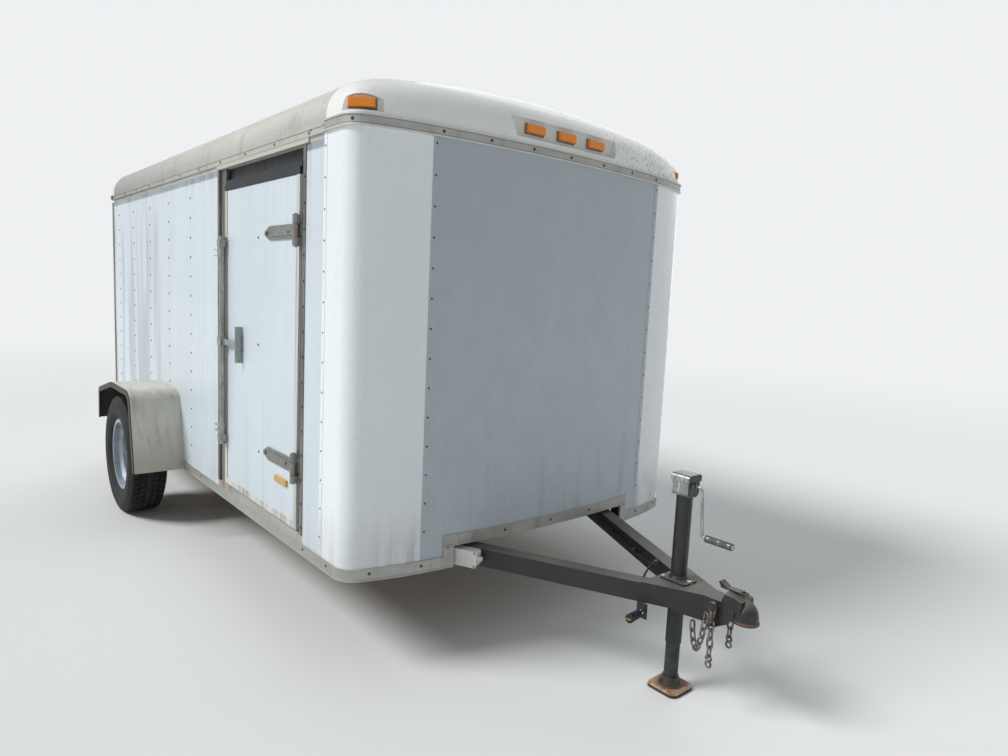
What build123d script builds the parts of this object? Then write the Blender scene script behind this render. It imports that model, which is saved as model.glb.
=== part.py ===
"""Enclosed cargo trailer, single axle, with a side door, twin rear doors and a tongue jack.

Millimetres. +X points forwards to the coupler, +Y to the left, +Z up, and z = 0 is the ground.
Places are worked out with x = 0 at the foremost point of the body's nose. Each piece is then moved
so that the origin lies on the ground, midway between the coupler's tip and the rear hinges.
"""

import os
from math import asin, atan, cos, degrees, radians, sin, sqrt, tan

from build123d import *

# Body shell
BODY_W = 1829.0
BODY_L = 3703.0
WALL_T = 38.0
SKIN_T = 3.0
WALL_TOP = 1907.0
PANEL_TOP = 1954.0
NOSE_R = 4600.0
CHEEK_R = 1200.0
CORNER_R = 80.0
SEAM_Y = 632.6
SEAM_X = -302.0
REAR_D = 60.0
FIT = 0.3
DOOR_GAP = 7.5
MEET_GAP = 10.0
FAR = 4000.0

# Floor frame
FRAME_TOP = 403.0
FRAME_H = 70.0
FRAME_W = 50.0
CROSS_W = 40.0
CROSS_COUNT = 8
CROSS_FIRST_X = -220.0
DECK_T = 19.0
DECK_GAP = 2.0

# Lower trim and the raised cut-out over the tongue
TRIM_T = 5.0
TRIM_LIP = 3.0
TRIM_LIP_H = 5.0
TRIM_LOW = 334.0
TRIM_TOP = 380.0
CUTOUT_Y = 537.0
CUTOUT_TOP = 464.0
CUTOUT_STRIP = 45.0

# Band under the cap
BAND_LOW = 1928.0
BAND_TOP = 1968.0
BAND_T = 8.0
BAND_BEAD = 3.0
BAND_BEAD_H = 5.0

# Roof
ROOF_BASE = 1975.0
COVE_R = 145.0
ROOF_T = 25.0
ROOF_RISE = 45.0
RAIL_LIP = 8.0
RAIL_STRIP_H = 19.0
RAIL_LIP_H = 27.0

# Front cap: how far its top is set back, and its plan outline at each level
CAP_DEPTH = 165.0
CAP_BASE_X = -500.0
# Columns: height above the roof's base, nose radius, cheek radius, corner radius, half width of the nose arc
CAP_LOW_LEVELS = (
    (0.0, 4600.0, 1200.0, 80.0, 632.6),
    (40.0, 4500.0, 1150.0, 82.0, 625.0),
    (75.0, 4250.0, 1050.0, 86.0, 610.0),
    (105.0, 3880.0, 900.0, 92.0, 590.0),
    (128.0, 3440.0, 720.0, 105.0, 565.0),
    (140.0, 3200.0, 650.0, 125.0, 540.0),
)
CAP_HIGH_LEVELS = (
    CAP_LOW_LEVELS[-1],
    (160.0, 2600.0, 600.0, 165.0, 480.0),
    (178.0, 1700.0, 620.0, 150.0, 420.0),
    (191.0, 1300.0, 650.0, 140.0, 400.0),
)

# Lamp pockets in the cap
POCKET_X = -34.0
POCKET_LOW_HALF = 275.0
POCKET_TOP_HALF = 296.0
POCKET_LOW = 1995.0
POCKET_TOP = 2062.0
POCKET_WALL = 8.0
POCKET_FLARE = 14.0
EYE_ANGLE = 38.0
EYE_BACK = 42.0
EYE_HALF = 73.0
EYE_LOW = 1979.0
EYE_END_TOP = 2019.0
EYE_BROW_TOP = 2036.0
LAMP_SPACING = 172.0
LAMP_W = 100.0
LAMP_H = 40.0
LAMP_T = 20.0
LAMP_Z = 2029.0
LAMP_BASE_T = 4.0
LAMP_RIM = 4.0
EYE_LAMP_H = 37.0
EYE_LAMP_Z = 2006.0
EYE_LAMP_T = 30.0

# Tongue
TONGUE_W = 60.0
TONGUE_H = 70.0
TONGUE_HALF_ANGLE = 25.5
TONGUE_HALF_SPREAD = 412.0
TONGUE_REAR_X = -760.0
TONGUE_MITRE_GAP = 4.0
COUPLER_TIP = 979.0
COUPLER_T = 6.0
COUPLER_REAR_X = 600.0
COUPLER_REAR_H = 34.0
COUPLER_KNEE_X = 730.0
COUPLER_KNEE_H = 84.0
COUPLER_SIDE_H = 94.0
COUPLER_LOW_X = 830.0
COUPLER_LOW_L = 16.0
COUPLER_RISE = 32.0
COUPLER_NECK_W = 76.0
COUPLER_FLANGE = 6.0
COUPLER_HEAD_H = 78.0
COUPLER_HEAD_TOP = 447.0
COUPLER_HEAD_R = 39.0
SOCKET_R = 26.0
SOCKET_X = 935.0
SOCKET_MOUTH_Z = 357.0
SOCKET_BALL_UP = 22.0
COUPLER_LIP_H = 9.0
COUPLER_PIN_R = 9.0
COUPLER_NECK_R = 12.0

# Jack
JACK_X = 664.0
JACK_TUBE_R = 28.5
JACK_WALL = 2.5
JACK_TUBE_LOW = 176.0
JACK_TUBE_TOP = 718.0
JACK_TOP = 799.0
JACK_LID_H = 25.0
JACK_LID_HALF = 38.0
JACK_LID_LAP = 4.0
JACK_FOOT_W = 127.0
JACK_FOOT_H = 16.0
JACK_FOOT_T = 4.0
JACK_FOOT_R = 24.0
JACK_BOSS_H = 34.0
JACK_SLIDE = 1.0
JACK_LEG_IN = 140.0
CRANK_R = 5.5
CRANK_Z = 760.0
CRANK_OUT = 34.0
CRANK_LEAN = 14.0
CRANK_DROP = 170.0
CRANK_BEND_R = 14.0
GRIP_R = 10.0
GRIP_L = 104.0

# Safety chains and the wiring
CHAIN_WIRE = 6.0
CHAIN_PITCH = 31.0
CHAIN_LINK_W = 24.0
CHAIN_PLAY = 0.4
# Columns: side of the neck, x, links, z of the eye the chain hangs from
CHAINS = (
    ("right", -1, 846.0, 6, 398.0),
    ("left", 1, 848.0, 4, 372.0),
)
CHAIN_HOOK_R = 14.0
EYE_WASHER_R = 11.0
CABLE_R = 4.0
CABLE_POINTS = (
    (-40.0, 352.0, 372.0),
    (55.0, 309.0, 367.0),
    (160.0, 257.5, 371.0),
    (262.0, 210.0, 364.0),
    (368.0, 157.0, 369.0),
    (455.0, 112.0, 374.0),
    (520.0, 68.0, 400.0),
    (556.0, 18.0, 442.0),
    (578.0, -38.0, 452.0),
    (566.0, -70.0, 410.0),
    (556.0, -66.0, 352.0),
    (572.0, -70.0, 310.0),
    (604.0, -102.0, 297.0),
    (612.0, -140.0, 300.0),
)
PLUG_R = 14.0
PLUG_L = 62.0
PLUG_TAIL_R = 8.0
PLUG_TAIL_L = 16.0
PLUG_DIP = -4.0
PLUG_BACK = -14.0
HOLDER_Y = -121.0
HOLDER_T = 4.0
CLIP_W = 14.0

# Running gear
WHEEL_X = -2477.0
TYRE_R = 344.0
TYRE_W = 205.0
TYRE_GAP = 6.0
TYRE_BULGE_UP = 14.0
TYRE_SHOULDER = 18.0
RIM_R = 190.5
RIM_HALF = 76.0
RIM_FLANGE_H = 17.0
RIM_T = 4.0
HAND_HOLES = 8
HAND_HOLE_R = 17.0
HAND_HOLE_PCR = 132.0
SPINDLE_R = 17.0
SPINDLE_END = 20.0
HUB_CLEAR = 0.3
HUB_R = 38.0
HUB_NOSE = 30.0
HUB_FLANGE_R = 75.0
HUB_FLANGE_T = 12.0
BEAM_H = 60.0
ARM_LEN = 150.0
ARM_T = 26.0
ARM_EYE_R = 34.0
ARM_HALF = 24.0
ARM_GAP = 6.0

# Fenders
FENDER_T = 4.0
FENDER_LOW = 335.0
FENDER_TOP = 772.0
FENDER_REACH = 262.0
FENDER_LIP = 30.0
FENDER_CORNER_R = 90.0
FENDER_FRONT_X = -1990.0
FENDER_SLANT = 95.0
FENDER_FLAT_X = -2520.0
FENDER_REAR_X = -2872.0
FENDER_REAR_TOP = 694.0
FENDER_REAR_LOW = 503.0
FENDER_BEND_R = 300.0
FENDER_REAR_R = 40.0

# Side door in the curb-side wall
DOOR_FRONT_X = -454.0
DOOR_REAR_X = -1430.0
JAMB_FRONT_W = 45.5
JAMB_REAR_W = 92.5
JAMB_FLANGE_W = 24.0
JAMB_FLANGE_T = 3.0
JAMB_STEP = 7.0
HEADER_STEP = 26.0
HEADER_STRIP_T = 6.0
LEAF_LOW = 416.5
LEAF_TOP = 1852.0
LEAF_DRIP_H = 20.0
LEAF_DRIP_STEP = 6.0
EDGE_W = 28.0
EDGE_T = 2.5
REFLECTOR_X = -656.0
REFLECTOR_Z = 584.5
REFLECTOR_W = 118.0
REFLECTOR_H = 25.0
REFLECTOR_T = 9.0

# Strap hinges
HINGE_PIN_R = 6.0
HINGE_BARREL_R = 13.0
HINGE_H = 118.0
HINGE_MID_H = 54.0
HINGE_PLAY = 2.0
HINGE_OUT = 18.0
STRAP_L = 335.0
STRAP_H = 56.0
STRAP_T = 6.0
STRAP_POINT = 48.0
STRAP_RIB_T = 3.5
STRAP_RIB_H = 30.0
SIDE_HINGE_Z = (672.0, 1593.0)
REAR_HINGE_Z = (620.0, 1130.0, 1640.0)
REAR_BUTT_W = 45.0

# Bar locks
SIDE_BAR_X = -1320.0
SIDE_BAR_R = 14.0
SIDE_BAR_LOW = 612.0
SIDE_BAR_TOP = 1596.0
SIDE_CAM_Z = (680.0, 1522.0)
CAM_REACH = 52.0
CAM_H = 10.0
CAM_PLAY = 6.0
KEEPER_T = 5.0
KEEPER_W = 70.0
KEEPER_OUT = 28.0
GUIDE_H = 32.0
GUIDE_T = 4.0
SIDE_HANDLE_Z = 1107.0
SIDE_HANDLE_REACH = 210.0
SIDE_CATCH_H = 164.0
CATCH_FOOT_H = 34.0
REAR_BAR_R = 11.0
REAR_BAR_Y = -130.0
REAR_BAR_END = 4.0
REAR_HANDLE_Z = 1075.0
REAR_HANDLE_REACH = 230.0
REAR_CATCH_H = 90.0
REAR_GUIDES = (0.05, 0.36, 0.64, 0.95)
HANDLE_H = 26.0
HANDLE_T = 8.0
BAR_STAND = 5.0

# Rear frame and lamps
REAR_POST_W = 57.0
REAR_SILL_TOP = 409.0
REAR_HEAD_LOW = 1846.0
TAIL_Y = 720.0
TAIL_W = 150.0
TAIL_H = 48.0
MARKER_W = 70.0
MARKER_H = 30.0
MARKER_T = 14.0
MARKER_SPACING = 165.0
MARKER_Z = 1941.0
SIDE_MARKER_IN = 36.0
SIDE_MARKER_Z = 1941.0

# Junction box
BOX_X = -20.0
BOX_L = 112.0
BOX_D = 44.0
BOX_H = 60.0
BOX_Z = 371.0
BOX_LID_T = 4.0
BOX_LID_LAP = 3.0

HALF_W = BODY_W / 2
FRAME_LOW = FRAME_TOP - FRAME_H
ROOF_EDGE_Z = ROOF_BASE + COVE_R
ROOF_EDGE_Y = HALF_W - COVE_R
ROOF_TOP = ROOF_EDGE_Z + ROOF_RISE
CAP_H = COVE_R + ROOF_RISE
REAR_X = -BODY_L
REAR_IN_X = REAR_X + REAR_D
REAR_TIP = REAR_X - HINGE_OUT - HINGE_BARREL_R
MID_X = (COUPLER_TIP + REAR_TIP) / 2
TONGUE_SLOPE = tan(radians(TONGUE_HALF_ANGLE))
CHAIN_Y = COUPLER_NECK_W / 2 + COUPLER_FLANGE + CHAIN_LINK_W / 2 + 1
ARM_IN = HALF_W + TRIM_T + ARM_GAP
ARM_OUT = ARM_IN + ARM_T
TRACK_HALF = ARM_OUT + TYRE_GAP + TYRE_W / 2


def block(x0, x1, y0, y1, z0, z1):
    """A box between two corners."""
    size = Box(abs(x1 - x0), abs(y1 - y0), abs(z1 - z0))
    return Pos((x0 + x1) / 2, (y0 + y1) / 2, (z0 + z1) / 2) * size


def rod(radius, start, end):
    """A round bar between two points."""
    a, b = Vector(*start), Vector(*end)
    along = b - a
    plane = Plane(origin=a, z_dir=along.normalized())
    return extrude(plane * Circle(radius), amount=along.length)


def upright_hole(radius, x, y):
    """A round cutter through the whole height."""
    return rod(radius, (x, y, -FAR), (x, y, FAR))


def side_profile(points, y0, y1):
    """An outline in X and Z, extruded across Y from y0 to y1."""
    face = make_face(Polyline(*[(x, 0, z) for x, z in points], close=True))
    solid = extrude(face, amount=abs(y1 - y0), dir=(0, 1, 0))
    return Pos(0, min(y0, y1), 0) * solid


def plan_prism(points, z0, z1):
    """An outline in X and Y, extruded upwards."""
    face = make_face(Polyline(*points, close=True))
    return extrude(Pos(0, 0, z0) * face, amount=z1 - z0)


def across(shape):
    """The same shape on the other side of the centre line."""
    return mirror(shape, about=Plane.XZ)


def write(name, *shapes):
    """Move the finished solids of a node to the part's frame and write its file."""
    solids = [solid for shape in shapes for solid in shape.solids()]
    placed = [Pos(-MID_X, 0, 0) * solid for solid in solids]
    export_step(Compound(children=placed) if len(placed) > 1 else placed[0], f"parts/{name}.step")


def arc_about(centre, radius, start, end):
    """An arc in the ground plane between two angles in radians."""
    angles = (start, (start + end) / 2, end)
    return ThreePointArc(*[(centre[0] + radius * cos(a), centre[1] + radius * sin(a)) for a in angles])


def plan_centres(half_w, front, radii, seam_y):
    """Centres of the cheek and corner arcs, and the angles where the arcs meet."""
    nose_r, cheek_r, corner_r = radii
    seam = asin(seam_y / nose_r)
    cheek = (front - nose_r + (nose_r - cheek_r) * cos(seam), (nose_r - cheek_r) * sin(seam))
    bend = asin((half_w - corner_r - cheek[1]) / (cheek_r - corner_r))
    corner = (cheek[0] + (cheek_r - corner_r) * cos(bend), half_w - corner_r)
    return cheek, corner, seam, bend


def plan_outline(half_w, front, radii, seam_y, rear):
    """A plan with a nose of five arcs, straight sides and a square rear."""
    nose_r, cheek_r, corner_r = radii
    cheek, corner, seam, bend = plan_centres(half_w, front, radii, seam_y)
    square = radians(90)
    edges = [
        arc_about((corner[0], -corner[1]), corner_r, -square, -bend),
        arc_about((cheek[0], -cheek[1]), cheek_r, -bend, -seam),
        arc_about((front - nose_r, 0), nose_r, -seam, seam),
        arc_about(cheek, cheek_r, seam, bend),
        arc_about(corner, corner_r, bend, square),
        Line((corner[0], half_w), (rear, half_w)),
        Line((rear, half_w), (rear, -half_w)),
        Line((rear, -half_w), (corner[0], -half_w)),
    ]
    return make_face(Wire(edges))


def plan_face(grow, rear):
    """The body's plan, grown outside its skin."""
    radii = (NOSE_R + grow, CHEEK_R + grow, CORNER_R + grow)
    return plan_outline(HALF_W + grow, grow, radii, SEAM_Y * (NOSE_R + grow) / NOSE_R, rear)


def shell_ring(outer, inner, z0, z1, rear=REAR_IN_X):
    """A wall that follows the plan between two offsets, open at the rear."""
    outside = extrude(Pos(0, 0, z0) * plan_face(outer, rear), amount=z1 - z0)
    inside = extrude(Pos(0, 0, z0) * plan_face(inner, rear - 1), amount=z1 - z0)
    return outside - inside


def body_walls():
    """Side walls, corner panels and front panel, split at the real seams."""
    ring = shell_ring(0, -WALL_T, FRAME_TOP, PANEL_TOP) + shell_ring(0, -SKIN_T, TRIM_LOW, FRAME_TOP)
    opening_y = CUTOUT_Y - CUTOUT_STRIP
    ring -= block(SEAM_X, FAR, -opening_y, opening_y, 0, CUTOUT_TOP - CUTOUT_STRIP)
    door = block(DOOR_REAR_X, DOOR_FRONT_X, -FAR, 0, 0, FAR)
    write("front_panel", ring & block(SEAM_X, FAR, -SEAM_Y, SEAM_Y, 0, FAR))
    corners = [ring & block(SEAM_X, FAR, side * SEAM_Y, side * FAR, 0, FAR) for side in (1, -1)]
    write("corner_panels", *corners)
    write("side_wall_left", ring & block(REAR_IN_X, SEAM_X, 0, FAR, 0, WALL_TOP))
    right = ring - door
    ahead = right & block(DOOR_FRONT_X, SEAM_X, -FAR, 0, 0, WALL_TOP)
    behind = right & block(REAR_IN_X, DOOR_REAR_X, -FAR, 0, 0, WALL_TOP)
    write("side_wall_right", ahead, behind)


def lower_trim():
    """Strip round the foot of the body, with a rolled lip, stepped up over the tongue."""
    strip = shell_ring(TRIM_T, 0, TRIM_LOW, TRIM_TOP)
    strip += shell_ring(TRIM_T + TRIM_LIP, 0, TRIM_LOW, TRIM_LOW + TRIM_LIP_H)
    step = block(SEAM_X, FAR, -CUTOUT_Y, CUTOUT_Y, 0, CUTOUT_TOP)
    raised = shell_ring(TRIM_T, 0, TRIM_LOW, CUTOUT_TOP) & step
    inner_y = CUTOUT_Y - CUTOUT_STRIP
    low_edge = CUTOUT_TOP - CUTOUT_STRIP
    raised += shell_ring(TRIM_T + TRIM_LIP, 0, low_edge, low_edge + TRIM_LIP_H) & step
    hole = block(SEAM_X, FAR, -inner_y, inner_y, 0, low_edge)
    write("lower_trim", strip + raised - hole)


def roof_section(inset):
    """Half-round coves and a crowned roof as one face across Y, seen along X."""
    edge_z, top = ROOF_EDGE_Z - inset, ROOF_TOP - inset
    wall_y = HALF_W - inset
    bend = sin(radians(45)) * (COVE_R - inset)
    mid_y, mid_z = ROOF_EDGE_Y + bend, ROOF_BASE + bend
    sides = [
        Line((0, wall_y, ROOF_BASE), (0, -wall_y, ROOF_BASE)),
        ThreePointArc((0, -wall_y, ROOF_BASE), (0, -mid_y, mid_z), (0, -ROOF_EDGE_Y, edge_z)),
        ThreePointArc((0, -ROOF_EDGE_Y, edge_z), (0, 0, top), (0, ROOF_EDGE_Y, edge_z)),
        ThreePointArc((0, ROOF_EDGE_Y, edge_z), (0, mid_y, mid_z), (0, wall_y, ROOF_BASE)),
    ]
    return make_face(Wire(sides))


def roof_body(inset, x0, x1):
    """The roof section run along X."""
    return Pos(x0, 0, 0) * extrude(roof_section(inset), amount=x1 - x0, dir=(1, 0, 0))


def cap_level(level, inset):
    """The cap's plan at one level of its table, set in by a wall's thickness."""
    height, nose_r, cheek_r, corner_r, seam_y = level
    shoulder = CAP_HIGH_LEVELS[0][0]
    cove = COVE_R - inset
    low = min(height, shoulder) * cove / COVE_R
    half_w = ROOF_EDGE_Y + sqrt(cove**2 - low**2)
    rest = (CAP_H - inset - shoulder * cove / COVE_R) / (CAP_H - shoulder)
    high = max(height - shoulder, 0) * rest
    back = CAP_DEPTH * (1 - sqrt(1 - (min(height, CAP_H) / CAP_H) ** 2))
    radii = (nose_r - inset, cheek_r - inset, corner_r - inset)
    seam_in = seam_y * (nose_r - inset) / nose_r
    outline = plan_outline(half_w, -back - inset, radii, seam_in, SEAM_X + CAP_BASE_X)
    return Pos(0, 0, ROOF_BASE + low + high) * outline


def cap_body(inset, rear):
    """The cap's solid form: bowed sides up to the shoulder, then the crown over it."""
    low = loft([cap_level(level, inset) for level in CAP_LOW_LEVELS])
    high = loft([cap_level(level, inset) for level in CAP_HIGH_LEVELS])
    return (low & block(rear, FAR, -FAR, FAR, 0, FAR)) + (high & roof_body(inset, rear, FAR))


def front_pocket(grow, deep):
    """Cutter for the trapezoid lamp pocket, or its wall when grown."""
    plane = Plane(origin=(POCKET_X - deep, 0, 0), x_dir=(0, 1, 0), z_dir=(1, 0, 0))
    low, top = POCKET_LOW - grow, POCKET_TOP + grow
    low_half, top_half = POCKET_LOW_HALF + grow, POCKET_TOP_HALF + grow
    outline = Polyline((-low_half, low), (low_half, low), (top_half, top), (-top_half, top), close=True)
    return extrude(plane * make_face(outline), amount=-POCKET_X + 60, taper=-POCKET_FLARE)


def eye_plane(back):
    """Upright plane across the right corner, with its x axis towards the nose."""
    corner = plan_centres(HALF_W, 0, (NOSE_R, CHEEK_R, CORNER_R), SEAM_Y)[1]
    a = radians(EYE_ANGLE)
    out = Vector(cos(a), -sin(a), 0)
    origin = Vector(corner[0], -corner[1], 0) + out * back
    return Plane(origin=origin, x_dir=(sin(a), cos(a), 0), z_dir=out)


def corner_pocket(grow, deep):
    """Cutter for the browed lamp pocket on the right corner, or its wall when grown."""
    half, low = EYE_HALF + grow, EYE_LOW - grow
    end_top, brow = EYE_END_TOP + grow, EYE_BROW_TOP + grow
    edges = [
        Line((-half, low), (half, low)),
        Line((half, low), (half, end_top)),
        ThreePointArc((half, end_top), (0, brow), (-half, end_top)),
        Line((-half, end_top), (-half, low)),
    ]
    return extrude(eye_plane(EYE_BACK - deep) * make_face(Wire(edges)), amount=120)


def front_cap():
    """Moulded cap over the nose, hollow below, with three pockets for lamps."""
    form = cap_body(0, SEAM_X)
    cap = form - cap_body(ROOF_T, SEAM_X - 5)
    base = shell_ring(0, -WALL_T, PANEL_TOP, ROOF_BASE) & block(SEAM_X, FAR, -FAR, FAR, 0, FAR)
    cap += base
    right, right_wall = corner_pocket(0, 0), corner_pocket(POCKET_WALL, POCKET_WALL)
    walls = [front_pocket(POCKET_WALL, POCKET_WALL), right_wall, across(right_wall)]
    for wall in walls:
        cap += wall & form
    for pocket in (front_pocket(0, 0), right, across(right)):
        cap -= pocket
    write("front_cap", cap)


def top_band():
    """Flat band round the nose under the cap, with a bead on each edge."""
    band = shell_ring(BAND_T, 0, BAND_LOW, BAND_TOP)
    for low in (BAND_LOW, BAND_TOP - BAND_BEAD_H):
        band += shell_ring(BAND_T + BAND_BEAD, 0, low, low + BAND_BEAD_H)
    write("top_band", band & block(SEAM_X, FAR, -FAR, FAR, 0, FAR))


def roof():
    """Crowned roof panel and the two coved side rails."""
    rear, front = REAR_IN_X, SEAM_X
    shell = roof_body(0, rear, front) - roof_body(ROOF_T, rear - 1, front + 1)
    write("roof_panel", shell & block(rear, front, -ROOF_EDGE_Y, ROOF_EDGE_Y, 0, FAR))
    lip_low = WALL_TOP + RAIL_STRIP_H
    lip_top = lip_low + RAIL_LIP_H
    rail = block(rear, front, HALF_W - WALL_T, HALF_W, WALL_TOP, ROOF_BASE)
    rail += block(rear, front, HALF_W, HALF_W + RAIL_LIP, lip_low, lip_top)
    rail += block(rear, front, HALF_W, HALF_W + RAIL_LIP + BAND_BEAD, lip_top - BAND_BEAD_H, lip_top)
    cove = shell & block(rear, front, ROOF_EDGE_Y, HALF_W + 1, 0, FAR)
    left = rail + cove
    write("roof_coves", left, across(left))


def tongue_line(x, inside):
    """Half spread of a tongue rail's outer or inner face at x."""
    width = TONGUE_W / cos(radians(TONGUE_HALF_ANGLE)) if inside else 0
    return TONGUE_HALF_SPREAD - width - TONGUE_SLOPE * x


def tongue_rail():
    """The left rail of the A-frame, mitred on the centre line."""
    rear, tip = TONGUE_REAR_X, COUPLER_KNEE_X + CHAIN_LINK_W
    gap = TONGUE_MITRE_GAP
    meet = (tongue_line(0, True) - gap) / TONGUE_SLOPE
    points = [
        (rear, tongue_line(rear, False)),
        (tip, tongue_line(tip, False)),
        (tip, gap),
        (meet, gap),
        (rear, tongue_line(rear, True)),
    ]
    rail = plan_prism(points, FRAME_LOW, FRAME_TOP)
    return rail - upright_hole(JACK_TUBE_R + FIT, JACK_X, 0)


def floor_frame():
    """Side rails, crossmembers, tongue rails and deck."""
    left_rail = tongue_rail()
    tongue = [left_rail + cable_clips(), across(left_rail) + plug_holder()]
    ring = shell_ring(-SKIN_T, -SKIN_T - FRAME_W, FRAME_LOW, FRAME_TOP)
    keep_y = CUTOUT_Y - CUTOUT_STRIP
    ring -= block(-FAR, FAR, -keep_y, keep_y, 0, FAR)
    write("frame_side_rails", ring)
    inner_y = HALF_W - SKIN_T - FRAME_W
    last = REAR_IN_X + CROSS_W / 2
    pieces = []
    for i in range(CROSS_COUNT + 1):
        x = CROSS_FIRST_X + (last - CROSS_FIRST_X) * i / CROSS_COUNT
        piece = block(x - CROSS_W / 2, x + CROSS_W / 2, -inner_y, inner_y, FRAME_LOW, FRAME_TOP)
        pieces.append(piece - tongue[0] - tongue[1])
    write("frame_crossmembers", *pieces)
    write("tongue_rails", *tongue)
    plan = plan_face(-WALL_T - DECK_GAP, REAR_IN_X)
    write("floor_deck", extrude(Pos(0, 0, FRAME_TOP) * plan, amount=DECK_T))


def coupler_plan(grow, rear, front):
    """Outline of the channel over the tongue's tip, down to the straight neck."""
    half_neck = COUPLER_NECK_W / 2 + grow
    spread = TONGUE_HALF_SPREAD + (COUPLER_T + grow) / cos(radians(TONGUE_HALF_ANGLE))
    neck_x = (spread - half_neck) / TONGUE_SLOPE
    left = [(rear, spread - TONGUE_SLOPE * rear), (neck_x, half_neck), (front, half_neck)]
    return left + [(x, -y) for x, y in reversed(left)]


def coupler():
    """Formed A-frame channel, its ball housing and the latch lever."""
    top_z = FRAME_TOP + COUPLER_T
    low = top_z - COUPLER_SIDE_H
    front = SOCKET_X - COUPLER_HEAD_R
    body = plan_prism(coupler_plan(0, COUPLER_REAR_X, front), low, top_z)
    body -= plan_prism(coupler_plan(-COUPLER_T, COUPLER_REAR_X - 5, front + 5), low - 5, FRAME_TOP)
    under = [
        (COUPLER_REAR_X - 5, top_z - COUPLER_REAR_H),
        (COUPLER_KNEE_X, top_z - COUPLER_KNEE_H),
        (COUPLER_LOW_X, low),
        (COUPLER_LOW_X, low - 50),
        (COUPLER_REAR_X - 5, low - 50),
    ]
    cut_low = side_profile(under, -FAR, FAR)
    body -= cut_low
    rise_x = COUPLER_LOW_X + COUPLER_LOW_L
    cut_front = side_profile([(rise_x, low), (front + 5, low + COUPLER_RISE), (front + 5, low - 50), (rise_x, low - 50)], -FAR, FAR)
    flange = plan_prism(coupler_plan(COUPLER_FLANGE, COUPLER_LOW_X, front), low, low + COUPLER_T)
    flange -= plan_prism(coupler_plan(-COUPLER_T, COUPLER_LOW_X - 5, front + 5), low - 5, FRAME_TOP)
    body = body + flange - cut_front
    body -= upright_hole(JACK_TUBE_R + FIT, JACK_X, 0)
    write("coupler_channel", body + chain_eyes())
    write("coupler_head", coupler_head(front))
    latch_z = COUPLER_HEAD_TOP
    latch = [
        (SOCKET_X - 92, latch_z),
        (SOCKET_X - 4, latch_z),
        (SOCKET_X - 4, latch_z + 6),
        (SOCKET_X - 70, latch_z + 6),
        (SOCKET_X - 96, latch_z + 22),
        (SOCKET_X - 102, latch_z + 18),
    ]
    lever = side_profile(latch, -13, 13)
    lever += rod(7, (SOCKET_X - 16, 0, latch_z), (SOCKET_X - 16, 0, latch_z + 12))
    write("coupler_latch", lever)


def coupler_head(rear):
    """Ball housing: a domed shell over the socket, blended into the square neck."""
    r, mouth = COUPLER_HEAD_R, SOCKET_MOUTH_Z
    tip_r = COUPLER_TIP - SOCKET_X
    top = mouth + COUPLER_HEAD_H
    dome_low = mouth + COUPLER_LIP_H
    mid = radians(42)
    profile = [
        Line((0, 0, mouth), (tip_r, 0, mouth)),
        Line((tip_r, 0, mouth), (tip_r, 0, mouth + COUPLER_LIP_H - 3)),
        Line((tip_r, 0, mouth + COUPLER_LIP_H - 3), (r, 0, dome_low)),
        ThreePointArc(
            (r, 0, dome_low), (r * cos(mid), 0, dome_low + (top - dome_low) * sin(mid)), (0, 0, top)
        ),
        Line((0, 0, top), (0, 0, mouth)),
    ]
    dome = Pos(SOCKET_X, 0, 0) * revolve(make_face(Wire(profile)), axis=Axis.Z)
    neck_low = FRAME_TOP + COUPLER_T - COUPLER_SIDE_H
    shape = [
        (rear, neck_low + COUPLER_RISE),
        (SOCKET_X - SOCKET_R - 4, mouth),
        (SOCKET_X, mouth),
        (SOCKET_X, top - 4),
        (SOCKET_X - 50, COUPLER_HEAD_TOP),
        (rear - 20, COUPLER_HEAD_TOP),
        (rear - 34, FRAME_TOP + COUPLER_T),
        (rear, FRAME_TOP + COUPLER_T),
    ]
    neck = side_profile(shape, -r, r)
    neck = fillet(neck.edges().filter_by(Axis.X).group_by(Axis.Z)[-1], COUPLER_NECK_R)
    ball_z = mouth + SOCKET_BALL_UP
    bore = rod(SOCKET_R, (SOCKET_X, 0, mouth - 60), (SOCKET_X, 0, ball_z)) + Pos(SOCKET_X, 0, ball_z) * Sphere(SOCKET_R)
    pin_x, pin_z = rear + COUPLER_PIN_R + 2, ball_z + 4
    pin = rod(COUPLER_PIN_R, (pin_x, -r - 5, pin_z), (pin_x, r + 5, pin_z))
    return dome + neck + pin - bore


def chain_eyes():
    """A bolt with a round eye on each side of the coupler's neck, one for each chain."""
    eyes = []
    for _, side, x, _, z in CHAINS:
        wall, out = side * COUPLER_NECK_W / 2, side * (CHAIN_Y + CHAIN_WIRE)
        eye = rod(CHAIN_WIRE / 2, (x, wall, z), (x, out, z))
        eyes.append(eye + rod(EYE_WASHER_R, (x, out, z), (x, out + side * CHAIN_WIRE, z)))
    return eyes


def chain_link():
    """One long link in the XZ plane, centred, of square section with clipped corners."""
    half_l, half_w = CHAIN_PITCH / 2 + CHAIN_WIRE, CHAIN_LINK_W / 2
    clip = CHAIN_WIRE
    points = [(half_w - clip, half_l), (half_w, half_l - clip)]
    points += [(x, -z) for x, z in reversed(points)]
    points += [(-x, -z) for x, z in points]
    link = side_profile(points, -CHAIN_WIRE / 2, CHAIN_WIRE / 2)
    hole_w = half_w - CHAIN_WIRE
    return link - block(-hole_w, hole_w, -CHAIN_WIRE, CHAIN_WIRE, -CHAIN_PITCH / 2, CHAIN_PITCH / 2)


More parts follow.
